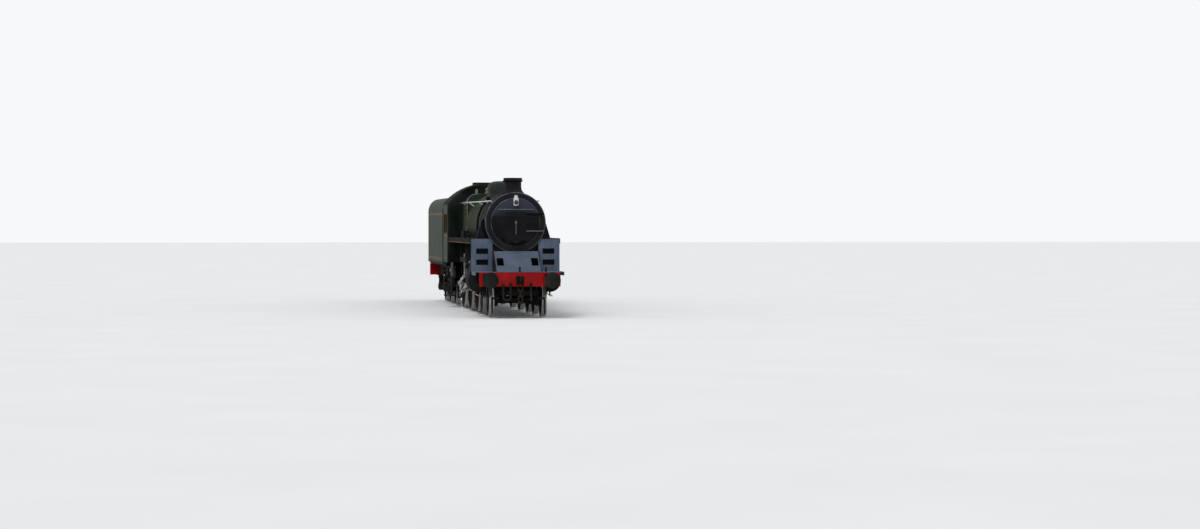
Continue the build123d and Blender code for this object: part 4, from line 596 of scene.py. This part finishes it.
class Work:
    """Metalwork gathered into one mesh."""

    def __init__(self):
        self.bm = bmesh.new()

    def block(self, s0, s1, y0, y1, h0, h1, edge=3):
        """A block with its edges eased."""
        a, b = at(s0, y0, h0), at(s1, y1, h1)
        middle, size = (a + b) / 2, [abs(p - q) for p, q in zip(a, b)]
        place = Matrix.Translation(middle) @ Matrix.Diagonal((*size, 1))
        made = bmesh.ops.create_cube(self.bm, size=1, matrix=place)
        edges = list({e for v in made["verts"] for e in v.link_edges})
        eased = min(edge / 1000, min(size) * 0.3)
        bmesh.ops.bevel(self.bm, geom=edges, offset=eased, segments=2, affect="EDGES")

    def sweep(self, rings, closed=False):
        """Skin over rings of points, with its ends joined or capped."""
        loops = [[self.bm.verts.new(p) for p in ring] for ring in rings]
        for a, b in zip(loops, loops[1:] + loops[:1] if closed else loops[1:]):
            for n in range(len(a)):
                m = (n + 1) % len(a)
                self.bm.faces.new((a[n], a[m], b[m], b[n]))
        if not closed:
            self.bm.faces.new(list(reversed(loops[0])))
            self.bm.faces.new(loops[-1])

    def pipe(self, points, radius, bend=80, sides=10):
        """A round pipe through (station, offset, height) points."""
        line = [at(*p) for p in points]
        line = rounded(line, bend / 1000)
        rings, side = [], None
        for n, p in enumerate(line):
            along = (line[min(n + 1, len(line) - 1)] - line[max(n - 1, 0)]).normalized()
            if side is None:
                side = along.orthogonal().normalized()
            side = (side - along * side.dot(along)).normalized()
            rings.append(ring_of(p, side, along.cross(side), radius / 1000, sides))
        self.sweep(rings)

    def turned(self, profile, start, axis, sides=28):
        """A turned piece from (distance along the axis, radius) points in millimetres."""
        axis = Vector(axis).normalized()
        side = axis.orthogonal().normalized()
        rings = []
        for d, r in profile:
            middle = at(*start) + axis * (d / 1000)
            rings.append(ring_of(middle, side, axis.cross(side), max(r, 0.3) / 1000, sides))
        self.sweep(rings)

    def strap(self, section, s, width, thick, closed=False):
        """A band of metal over (offset, height) points given for its inner and outer face."""
        inner, outer = section(0), section(thick)
        rings = []
        for (y0, h0), (y1, h1) in zip(inner, outer):
            a, b = s - width / 2, s + width / 2
            rings.append([at(a, y0, h0), at(a, y1, h1), at(b, y1, h1), at(b, y0, h0)])
        self.sweep(rings, closed)

    def ribbon(self, points, normal, width, thick=0.8, closed=True):
        """A thin flat line along points on a flat face."""
        line, normal = [at(*p) for p in points], Vector(normal).normalized()
        count, rings = len(line), []
        for n, p in enumerate(line):
            before = line[n - 1] if closed or n else p
            after = line[(n + 1) % count] if closed or n < count - 1 else p
            a = (p - before).normalized() if (p - before).length else (after - p).normalized()
            b = (after - p).normalized() if (after - p).length else a
            side = normal.cross(a + b).normalized()
            reach = width / 2000 / max(0.4, side.dot(normal.cross(a)))
            up = normal * (thick / 1000)
            rings.append([p - side * reach, p - side * reach + up, p + side * reach + up, p + side * reach])
        self.sweep(rings, closed)

    def finish(self, name, finish, body="engine", slot="frame_black"):
        """The work as a piece of a body, in one of the plain finishes or a material of its own."""
        bmesh.ops.remove_doubles(self.bm, verts=self.bm.verts, dist=1e-6)
        bmesh.ops.recalc_face_normals(self.bm, faces=self.bm.faces)
        mesh = bpy.data.meshes.new(name)
        self.bm.to_mesh(mesh)
        self.bm.free()
        mesh.shade_smooth()
        mesh.set_sharp_from_angle(angle=math.radians(35))
        show(name, mesh, plain_finish(finish) if isinstance(finish, str) else finish, body, slot)


def show(name, mesh, material, body, slot):
    dress(mesh, material)
    obj = linked(name, mesh)
    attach(obj, body)


def round_panel(a0, a1, b0, b1, corner, place):
    """A closed line round a panel with rounded corners, put in place by a function of two numbers."""
    made = []
    for ca, cb, start in (
        (a1 - corner, b1 - corner, 0), (a0 + corner, b1 - corner, 90),
        (a0 + corner, b0 + corner, 180), (a1 - corner, b0 + corner, 270),
    ):
        for n in range(5):
            t = math.radians(start + 22.5 * n)
            made.append(place(ca + corner * math.cos(t), cb + corner * math.sin(t)))
    return made


# Rivets, nuts and other heads that repeat


def head_tree():
    """A head on every point of a mesh, turned to the point's own direction."""
    tree = bpy.data.node_groups.get("Heads on points")
    if tree:
        return tree
    tree = bpy.data.node_groups.new("Heads on points", "GeometryNodeTree")
    face = tree.interface
    face.new_socket(name="Points", in_out="INPUT", socket_type="NodeSocketGeometry")
    for name, kind, default in (
        ("Radius", "Float", 0.011), ("Height", "Float", 0.007), ("Sides", "Int", 8),
        ("Crown", "Float", 0.62), ("Seed", "Int", 7),
    ):
        face.new_socket(name=name, in_out="INPUT", socket_type=f"NodeSocket{kind}").default_value = default
    face.new_socket(name="Finish", in_out="INPUT", socket_type="NodeSocketMaterial")
    face.new_socket(name="Heads", in_out="OUTPUT", socket_type="NodeSocketGeometry")

    def add(*what):
        return add_node(tree, *what)

    given = add("NodeGroupInput").outputs
    half = add("ShaderNodeMath", {"operation": "MULTIPLY"}, {0: given["Height"], 1: 0.5}).outputs[0]
    top = add("ShaderNodeMath", {"operation": "MULTIPLY"}, {0: given["Radius"], 1: given["Crown"]}).outputs[0]
    foot = {"Vertices": given["Sides"], "Radius Top": given["Radius"], "Radius Bottom": given["Radius"]}
    low = add("GeometryNodeMeshCone", None, {**foot, "Depth": half})
    crown = {"Vertices": given["Sides"], "Radius Top": top, "Radius Bottom": given["Radius"], "Depth": half}
    high = add("GeometryNodeMeshCone", None, crown)
    lift = add("ShaderNodeCombineXYZ", None, {"Z": half}).outputs[0]
    raised = add("GeometryNodeTransform", None, {"Geometry": high.outputs["Mesh"], "Translation": lift})
    both = add("GeometryNodeJoinGeometry")
    tree.links.new(low.outputs["Mesh"], both.inputs[0])
    tree.links.new(raised.outputs[0], both.inputs[0])
    out = add("GeometryNodeInputNamedAttribute", {"data_type": "FLOAT_VECTOR"}, {"Name": "out"}).outputs[0]
    turn = add("FunctionNodeAlignRotationToVector", {"axis": "Z"}, {"Vector": out}).outputs[0]
    spin = add("FunctionNodeRandomValue", {"data_type": "FLOAT"}, {2: 0.0, 3: 1.05, "Seed": given["Seed"]})
    axis_turn = add("ShaderNodeCombineXYZ", None, {"Z": spin.outputs[1]}).outputs[0]
    spun = add("FunctionNodeEulerToRotation", None, {0: axis_turn}).outputs[0]
    whole = add("FunctionNodeRotateRotation", {"rotation_space": "LOCAL"}, {0: turn, 1: spun}).outputs[0]
    sown = add(
        "GeometryNodeInstanceOnPoints",
        None,
        {"Points": given["Points"], "Instance": both.outputs[0], "Rotation": whole},
    )
    real = add("GeometryNodeRealizeInstances", None, {0: sown.outputs[0]})
    done = add("GeometryNodeSetMaterial", None, {"Geometry": real.outputs[0], "Material": given["Finish"]})
    add("NodeGroupOutput", None, {0: done.outputs[0]})
    return tree


class Heads:
    """Points for rivets or nuts, each with the direction it faces."""

    def __init__(self, pitch):
        self.points, self.pitch = [], pitch * 1000

    def row(self, a, b, out, count=None):
        reach = math.dist(a, b)
        count = count or max(2, round(reach / self.pitch) + 1)
        for n in range(count):
            t = n / (count - 1)
            self.points.append((at(*[p + (q - p) * t for p, q in zip(a, b)]), Vector(out)))

    def ring(self, s, y, h, radius, count, way=1):
        """A ring on a face that looks forwards, or backwards where way is -1."""
        for t in turns(count):
            place = at(s, y + radius * math.cos(t), h + radius * math.sin(t))
            self.points.append((place, Vector((way, 0, 0))))

    def finish(self, name, radius, height, sides, crown, finish, body="engine", slot="frame_black"):
        material = plain_finish(finish)
        mesh = bpy.data.meshes.new(name)
        mesh.from_pydata([p for p, _ in self.points], [], [])
        mesh.attributes.new("out", "FLOAT_VECTOR", "POINT").data.foreach_set(
            "vector", [c for _, out in self.points for c in out.normalized()]
        )
        obj = linked(name, mesh)
        tree = head_tree()
        modifier = obj.modifiers.new("heads", "NODES")
        modifier.node_group = tree
        wanted = {"Radius": radius, "Height": height, "Sides": sides, "Crown": crown, "Finish": material}
        for item in tree.interface.items_tree:
            if item.item_type == "SOCKET" and item.in_out == "INPUT" and item.name in wanted:
                modifier[item.identifier] = wanted[item.name]
        ready = bpy.context.evaluated_depsgraph_get()
        made = bpy.data.meshes.new_from_object(obj.evaluated_get(ready), depsgraph=ready)
        bpy.data.objects.remove(obj)
        made.name = name
        made.shade_smooth()
        made.set_sharp_from_angle(angle=math.radians(50))
        show(name, made, material, body, slot)


# Operators, one for each group of pieces


class Piece:
    """What the operators share."""

    bl_options = {"REGISTER", "UNDO"}

    def execute(self, context):
        self.build(context.scene)
        return {"FINISHED"}


class LOCOMOTIVE_OT_stage(Piece, bpy.types.Operator):
    """Pale floor, soft light and the camera"""

    bl_idname = "locomotive.stage"
    bl_label = "Stage"

    def build(self, scene):
        studio = scene.locomotive_studio
        camera = linked("camera", bpy.data.cameras.new("camera"))
        camera.location = studio.eye
        camera.rotation_euler = (math.pi / 2 + studio.tilt, 0, studio.turn)
        camera.data.lens = studio.lens
        camera.data.sensor_fit = "HORIZONTAL"
        camera.data.clip_end = 600
        scene.camera = camera
        sun = linked("key_light", bpy.data.lights.new("key_light", "SUN"))
        sun.data.energy = studio.sun
        sun.data.angle = math.radians(28)
        sun.rotation_euler = Vector((0.75, -0.55, 1.3)).to_track_quat("Z", "Y").to_euler()
        self.world(scene, studio.sky)
        self.floor()
        scene.view_settings.view_transform = "Standard"

    def world(self, scene, level):
        world = bpy.data.worlds.new("studio")
        world.use_nodes = True
        tree = world.node_tree
        tree.nodes.clear()
        path = add_node(tree, "ShaderNodeLightPath").outputs
        mixed = {0: path["Is Camera Ray"]}
        for name in ("Is Glossy Ray", "Is Transmission Ray"):
            larger = add_node(tree, "ShaderNodeMath", {"operation": "MAXIMUM"}, {0: mixed[0], 1: path[name]})
            mixed[0] = larger.outputs[0]
        for place, tone, strength in ((1, (0.96, 0.98, 1.0, 1), level), (2, (0.93, 0.94, 0.96, 1), 1.0)):
            sky = add_node(tree, "ShaderNodeBackground", None, {"Color": tone, "Strength": strength})
            mixed[place] = sky.outputs[0]
        both = add_node(tree, "ShaderNodeMixShader", None, mixed)
        add_node(tree, "ShaderNodeOutputWorld", None, {0: both.outputs[0]})
        scene.world = world

    def floor(self):
        made = Finish("studio_floor")
        path = made.add("ShaderNodeLightPath", out="Is Camera Ray")
        seen = path
        for name in ("Is Glossy Ray", "Is Transmission Ray"):
            seen = seen.largest(Flow(made, path.socket.node.outputs[name]))
        tone = made.mix(made.noise(0.35, 2.0).between(0.2, 0.8), (0.80, 0.805, 0.81), (0.84, 0.845, 0.85))
        material = made.close(made.mix(seen, (0.34, 0.34, 0.335), tone), 0.9)
        mesh = bpy.data.meshes.new("floor")
        far = 320.0
        mesh.from_pydata([(-far, -far, 0), (far, -far, 0), (far, far, 0), (-far, far, 0)], [], [(0, 1, 2, 3)])
        mesh.materials.append(material)
        linked("floor", mesh)


class LOCOMOTIVE_OT_paint(Piece, bpy.types.Operator):
    """Paint and metal on every piece of the model"""

    bl_idname = "locomotive.paint"
    bl_label = "Paint the model"

    def build(self, scene):
        for name, nodes in FINISHES.items():
            for node in nodes:
                put_on(node, plain_finish(name))
        wheels = [(f"driving_wheelset_{n}", s, DRIVER_R) for n, s in enumerate(DRIVERS, 1)]
        wheels += [(f"bogie_wheelset_{end}", s, BOGIE_R) for end, s in zip(("front", "rear"), BOGIE)]
        wheels += [(f"tender_wheelset_{n}", s, TENDER_R) for n, s in enumerate(TENDER_AXLES, 1)]
        for node, s, radius in wheels:
            put_on(node, wheel_finish(node, s, radius))

        def in_cab(x, y, z, nx, ny, nz):
            return (y * ny < -0.05).largest(nx < -0.5)

        def in_tank(x, y, z, nx, ny, nz):
            along = x - x_at(sum(TANK) / 2)
            decks = (abs(along) < 3.26) * (z > 1.50) * (abs(y) < 1.28) * (nz > 0.3) * (abs(ny) < 0.12)
            plates = (abs(along) < 3.20) * (z > 1.50) * (abs(y) < 1.28) * (abs(nx) > 0.3)
            ends = (along * nx < -0.15) * (z > 1.50)
            return (y * ny < -0.05).largest(decks).largest(plates).largest(ends)

        def behind_front(x, y, z, nx, ny, nz):
            return x < x_at(CAB[0] + 20)

        inside = "cab_inside"
        for node, outside, inner, mask in (
            ("cab_sides", "body_green", inside, in_cab),
            ("cab_front", "spectacle", inside, in_cab),
            ("tender_tank", "body_green", (0.014, 0.013, 0.013), in_tank),
            ("firebox", "body_green", (0.013, 0.013, 0.013), behind_front),
        ):
            put_on(node, two_sided(f"paint_{node}", outside, inner, mask))
        put_on("door_fittings", door_fittings_finish())
        put_on("head_lamp", lamp_finish())
        put_on("cab_fittings", cab_fittings_finish())
        put_on("step_plates", step_plate_finish())
        put_on("smokebox", smokebox_finish())
        put_on("smokebox_door", door_finish())
        put_on("boiler_mountings", mountings_finish())
        put_on("cab_floor", board_finish())
        put_on("cab_windows", glass_finish())


class LOCOMOTIVE_OT_bands(Piece, bpy.types.Operator):
    """Bands round the boiler and over the firebox, with a line at each edge"""

    bl_idname = "locomotive.bands"
    bl_label = "Boiler bands"

    def build(self, scene):
        sizes = scene.locomotive_sizes
        bands, lines = Work(), Work()
        width, thick, line = sizes.band_width * 1000, sizes.band_depth * 1000, 7

        def circle(s):
            def section(proud):
                reach = barrel_radius(s) + proud
                return [(reach * math.cos(t), PITCH + reach * math.sin(t)) for t in turns(72)]

            return section

        places = [(s, circle(s), True) for s in (2932, 3640, 4400, 5800, 6430, 7022)]
        places += [(s, lambda proud, s=s: firebox_section(s, proud), False) for s in (7100, 7900, 8560, 9212)]
        for s, section, closed in places:
            bands.strap(section, s, width, thick, closed)
            for side in (-1, 1):
                lines.strap(section, s + side * (width / 2 - line / 2), line, thick + 0.7, closed)
        # A steel bead along the firebox's front edge: a real edge, made bright as a painted highlight of the
        # sky on it
        bead = Work()
        bead.strap(lambda proud: firebox_section(7068, proud), 7068, 16, 10)
        bead.finish("firebox_highlight_bead", "rail_steel", "engine", "bright_steel")
        bands.finish("boiler_bands", "plate_black", "engine", "plate_black")
        lines.finish("band_lines", "lining", "engine", "red_paint")


class LOCOMOTIVE_OT_lining(Piece, bpy.types.Operator):
    """Painted lines on the cab, the tender and the valances"""

    bl_idname = "locomotive.lining"
    bl_label = "Lining"

    def build(self, scene):
        sizes = scene.locomotive_sizes
        width = sizes.line_width * 1000
        engine, tender = Work(), Work()
        for side in (-1, 1):
            def flank(half):
                return lambda s, h: (s, side * half, h)

            engine.ribbon(round_panel(9330, 10860, 1560, 2270, 70, flank(CAB_HALF)), (0, side, 0), width)
            for inset in (0, 44):
                tank = (11560 + inset, 17820 - inset, 1480 + inset, 2990 - inset)
                tender.ribbon(round_panel(*tank, 90, flank(TANK_HALF)), (0, side, 0), width)
            edge = [(s, side * VALANCE_HALF, 2080) for s in (1300, 9200)]
            engine.ribbon(edge, (0, side, 0), 9, closed=False)
        engine.finish("engine_lining", "lining", "engine", "red_paint")
        tender.finish("tender_lining", "lining", "tender", "red_paint")


class LOCOMOTIVE_OT_rivets(Piece, bpy.types.Operator):
    """Rows of rivets and rings of nuts"""

    bl_idname = "locomotive.rivets"
    bl_label = "Rivets and nuts"

    def build(self, scene):
        sizes = scene.locomotive_sizes
        pitch, radius, nut = sizes.rivet_pitch, sizes.rivet_radius, sizes.nut_radius
        front, grey, red, box, tender = (Heads(pitch) for _ in range(5))
        for h in (890, 1246):
            red.row((BEAM_FACE, -1115, h), (BEAM_FACE, 1115, h), (1, 0, 0))
        for side in (-1, 1):
            for h in (1010, 1130):
                red.row((BEAM_FACE, side * 560, h), (BEAM_FACE, side * 640, h), (1, 0, 0), 2)
            out = (0, side, 0)
            y = side * FRAME_HALF
            front.row((200, y, 1210), (1100, y, 1210), out)
            front.row((2300, y, 1500), (4100, y, 1500), out)
            for y in (690, 1255):
                grey.row((STEP_S, side * y, 1300), (STEP_S, side * y, 2180), (1, 0, 0))
            grey.row((STEP_S, side * 700, 1296), (STEP_S, side * 1250, 1296), (1, 0, 0))
            grey.row((130, side * 1225, 1282), (1180, side * 1225, 1282), (0, 0, 1))
            front.row((1320, side * 1262, PLATE_TOP), (9200, side * 1262, PLATE_TOP), (0, 0, 1))
            y = side * CAB_HALF
            for s, top in ((9275, 3200), (10950, 2180)):
                front.row((s, y, 1460), (s, y, top), out)
            y, s0, s1 = side * TANK_HALF, TANK[0] + 30, TANK[1] - 30
            tender.row((s0, y, 1380), (s0, y, 3040), out)
            tender.row((s1, y, 1380), (s1, y, 3040), out)
            tender.row((s0, y, 1372), (s1, y, 1372), out)
            y = side * TENDER_FRAME_HALF
            tender.row((11000, y, 1250), (17900, y, 1250), out)
            tender.row((TANK[1], side * 1270, 1400), (TANK[1], side * 1270, 3020), (-1, 0, 0))
        for h in (1380, 2960):
            tender.row((TANK[1], -1240, h), (TANK[1], 1240, h), (-1, 0, 0))
        # Rows round the smokebox, the middle one open at the chimney's foot
        for s in (1330, MIDDLE_ROW, 2820):
            for n in range(56):
                t = math.radians(-35 + 250 * n / 55)
                y, h = SMOKEBOX_R * math.cos(t), PITCH + SMOKEBOX_R * math.sin(t)
                if s != MIDDLE_ROW or abs(y) > 380 or h < PITCH:
                    box.points.append((at(s, y, h), Vector((0, math.cos(t), math.sin(t)))))
        head = (radius, radius * 0.75, 8, 0.55)
        front.finish("engine_rivets", *head, "frame_black")
        box.finish("smokebox_rivets", *head, "smokebox_black", "engine", "smokebox_black")
        grey.finish("platform_rivets", *head, "platform_grey", "engine", "front_grey")
        red.finish("beam_rivets", *head, "beam_red", "engine", "red_paint")
        tender.finish("tender_rivets", *head, "frame_black", "tender")
        self.nuts(nut)

    def nuts(self, nut):
        engine, tender = Heads(0.1), Heads(0.1)
        for side in (-1, 1):
            engine.ring(CYL_S - 514, side * CYL_Y, CYL_H, 228, 14)
            engine.ring(CYL_S - 560, side * CYL_Y, CHEST_H, 118, 10)
            engine.ring(CYL_S + 510, side * CYL_Y, CYL_H, 225, 14, -1)
            for dy in (-140, 140):
                for dh in (-140, 140):
                    y, h = side * (BUFFER_Y + dy), BUFFER_H + dh
                    engine.points.append((at(-60, y, h), Vector((1, 0, 0))))
                    tender.points.append((at(REAR_BEAM + 16, y, h), Vector((-1, 0, 0))))
        for y in (-85, 85):
            for dh in (-85, 85):
                engine.points.append((at(-56, y, BUFFER_H + dh), Vector((1, 0, 0))))
        engine.finish("engine_nuts", nut, nut * 0.9, 6, 0.9, "frame_black")
        tender.finish("tender_nuts", nut, nut * 0.9, 6, 0.9, "frame_black", "tender")


class LOCOMOTIVE_OT_lamp(Piece, bpy.types.Operator):
    """Lens, handle and clips of the head lamp, and bare lamp irons"""

    bl_idname = "locomotive.lamp"
    bl_label = "Head lamp"

    def build(self, scene):
        s, h = 1050, PITCH + LAMP_H
        ring, lens = Work(), Work()
        rim = [(0, 42), (0, 55), (10, 56), (16, 51), (16, 42)]
        ring.turned(rim, (s - 100, 0, h + LENS_RISE), (1, 0, 0))
        grip = [(s + along, 0, h + rise) for along, rise in ((-40, 284), (-40, 330), (40, 330), (40, 284))]
        ring.pipe(grip, 5, 30)
        for side in (-1, 1):
            ring.block(s - 56, s + 56, side * 66, side * 70, h + 60, h + 74, 1)
        ring.finish("lamp_trim", "frame_black", "smokebox_door")
        dome = [(0, 42), (6, 39), (11, 30), (14, 15), (15, 0)]
        lens.turned(dome, (s - 104, 0, h + LENS_RISE), (1, 0, 0))
        lens.finish("lamp_lens", lens_finish(), "smokebox_door", "clear_glass")
        front, rear = Work(), Work()
        for y in (-740, 0, 740):
            front.block(20, 34, y - 24, y + 24, 1282, 1420, 2)
            front.block(20, 80, y - 24, y + 24, 1282, 1294, 2)
            rear.block(REAR_BEAM - 12, REAR_BEAM, y - 24, y + 24, 1180, 1400, 2)
        rear.block(TANK[1], TANK[1] + 46, -24, 24, 2700, 2712, 2)
        rear.block(TANK[1] + 34, TANK[1] + 46, -24, 24, 2700, 2830, 2)
        front.finish("front_lamp_irons", "frame_black")
        rear.finish("rear_lamp_irons", "frame_black", "tender")


class LOCOMOTIVE_OT_pipes(Piece, bpy.types.Operator):
    """Small pipes along the boiler, sand pipes, oil pipes and cylinder cocks"""

    bl_idname = "locomotive.pipes"
    bl_label = "Pipes"

    def build(self, scene):
        dark, bright = Work(), Work()
        # The ejector's exhaust pipe along the left side of the boiler
        h = PITCH + 130
        run = [(9250, 925, h), (7000, 925, h), (3000, 880, h), (2700, 880, h + 20), (2480, 800, h + 60)]
        dark.pipe(run, 34, 160, 14)
        for s in (8600, 7400, 6100, 4800, 3500):
            y = 925 if s > 7000 else 925 - 45 * (7000 - s) / 4000
            dark.block(s - 14, s + 14, y - 60, y + 38, h - 4, h + 4, 1)
        for side in (-1, 1):
            for s in DRIVERS:
                y = side * 740
                dark.pipe([(s - 1010, y, 1240), (s - 1010, y, 520), (s - 905, side * 760, 260)], 17, 120)
            # Drain pipes forward from under the cylinder ends
            for s in (CYL_S - 380, CYL_S + 380):
                cock = [(0, 26), (40, 26), (52, 16), (70, 16)]
                dark.turned(cock, (s, side * CYL_Y, CYL_H - 300), (0, 0, -1), 12)
                y = side * (CYL_Y + (30 if s > CYL_S else -30))
                bright.pipe([(s, side * CYL_Y, 640), (s, y, 600), (1250, y, 590), (1190, y, 560)], 14, 60)
            for k in range(5):
                s = 4439 + 60 * (k - 2)
                run = [(s, side * y, h) for y, h in ((1060, 2300), (1010, 2290), (1006, 2222))]
                bright.pipe(run, 5, 22, 8)
        dark.finish("boiler_pipes", "frame_black")
        bright.finish("oil_and_drain_pipes", "copper", "engine", "brass")


class LOCOMOTIVE_OT_plugs(Piece, bpy.types.Operator):
    """Washout plugs in the sides of the firebox"""

    bl_idname = "locomotive.plugs"
    bl_label = "Washout plugs"

    def build(self, scene):
        plugs = Work()
        plug = [(-3, 62), (5, 62), (9, 54), (9, 26), (26, 24), (26, 0)]
        for side in (-1, 1):
            for s in (7350, 7750, 8250, 8750):
                half, top = firebox_size(s)
                plugs.turned(plug, (s, side * (half + 1), top - 543), (0, side, 0), 20)
        plugs.finish("washout_plugs", "boiler_green", "engine", "green_paint")


class LOCOMOTIVE_OT_rails(Piece, bpy.types.Operator):
    """Grab rails on the cab and tender, and frames round the cab windows"""

    bl_idname = "locomotive.rails"
    bl_label = "Grab rails and window frames"

    def build(self, scene):
        sizes = scene.locomotive_sizes
        radius = sizes.rail_radius * 1000
        engine, tender, frames = Work(), Work(), Work()
        for side in (-1, 1):
            y = side * (CAB_HALF - 45)
            engine.pipe([(10975, y, 1620), (11020, y, 1650), (11020, y, 2420), (10920, y, 2450)], radius, 30)
            y = side * (TANK_HALF - 60)
            for end, proud in ((TANK[0], TANK[0] - 60), (TANK[1], TANK[1] + 55)):
                tender.pipe([(end, y, 1640), (proud, y, 1660), (proud, y, 2560), (end, y, 2580)], radius, 30)
            for a, b in ((9440, 9990), (10050, 10600)):
                edge = [(s, side * CAB_HALF, h) for s, h in ((a, 2330), (b, 2330), (b, 2960), (a, 2960))]
                frames.ribbon(edge, (0, side, 0), 34, 9)
        engine.finish("cab_grab_rails", "bright_steel", "engine", "bright_steel")
        tender.finish("tender_grab_rails", "bright_steel", "tender", "bright_steel")
        frames.finish("window_frames", "seat_wood", "engine", "boards")


class LOCOMOTIVE_OT_gauges(Piece, bpy.types.Operator):
    """Faces and rims of the pressure gauges in the cab"""

    bl_idname = "locomotive.gauges"
    bl_label = "Gauges"

    def build(self, scene):
        rims = Work()
        faces, uvs, corners = [], [], []
        for y in (-120, 120):
            start = (FIREBOX_END + 60, y, PITCH + 330)
            rims.turned([(-4, 84), (-4, 98), (12, 98), (16, 92), (12, 82), (2, 82)], start, (-1, 0, 0), 32)
            ring = turns(32)
            base = len(corners)
            corners += [at(start[0] + 2, y + 84 * math.cos(t), start[2] + 84 * math.sin(t)) for t in ring]
            faces.append([base + n for n in range(32)])
            uvs += [(0.5 - 0.5 * math.cos(t), 0.5 + 0.5 * math.sin(t)) for t in ring]
        mesh = bpy.data.meshes.new("gauge_faces")
        mesh.from_pydata(corners, [], faces)
        layer = mesh.uv_layers.new(name="face")
        for n, loop in enumerate(mesh.loops):
            layer.data[n].uv = uvs[loop.vertex_index]
        if mesh.polygons[0].normal.x > 0:
            mesh.flip_normals()
        show("gauge_faces", mesh, dial_finish(), "engine", "lamp_white")
        rims.finish("gauge_rims", "brass", "engine", "brass")


OPERATORS = tuple(Piece.__subclasses__())


class LOCOMOTIVE_PT_panel(bpy.types.Panel):
    """The locomotive's sizes, colours and pieces"""

    bl_idname = "LOCOMOTIVE_PT_panel"
    bl_label = "Steam locomotive"
    bl_space_type = "VIEW_3D"
    bl_region_type = "UI"
    bl_category = "Locomotive"

    def draw(self, context):
        for name, group in GROUPS:
            column = self.layout.column(align=True)
            for setting in group.__annotations__:
                column.prop(getattr(context.scene, name), setting)
        for operator in OPERATORS:
            self.layout.operator(operator.bl_idname)


GROUPS = (
    ("locomotive_paint", LocomotivePaint),
    ("locomotive_sizes", LocomotiveSizes),
    ("locomotive_studio", LocomotiveStudio),
)


def register():
    for name, group in GROUPS:
        bpy.utils.register_class(group)
        setattr(bpy.types.Scene, name, bpy.props.PointerProperty(type=group))
    for item in (*OPERATORS, LOCOMOTIVE_PT_panel):
        bpy.utils.register_class(item)


def unregister():
    for item in reversed((*OPERATORS, LOCOMOTIVE_PT_panel)):
        bpy.utils.unregister_class(item)
    for name, group in reversed(GROUPS):
        delattr(bpy.types.Scene, name)
        bpy.utils.unregister_class(group)


def main():
    register()
    for operator in OPERATORS:
        group, name = operator.bl_idname.split(".")
        getattr(getattr(bpy.ops, group), name)()


if __name__ == "__main__":
    main()
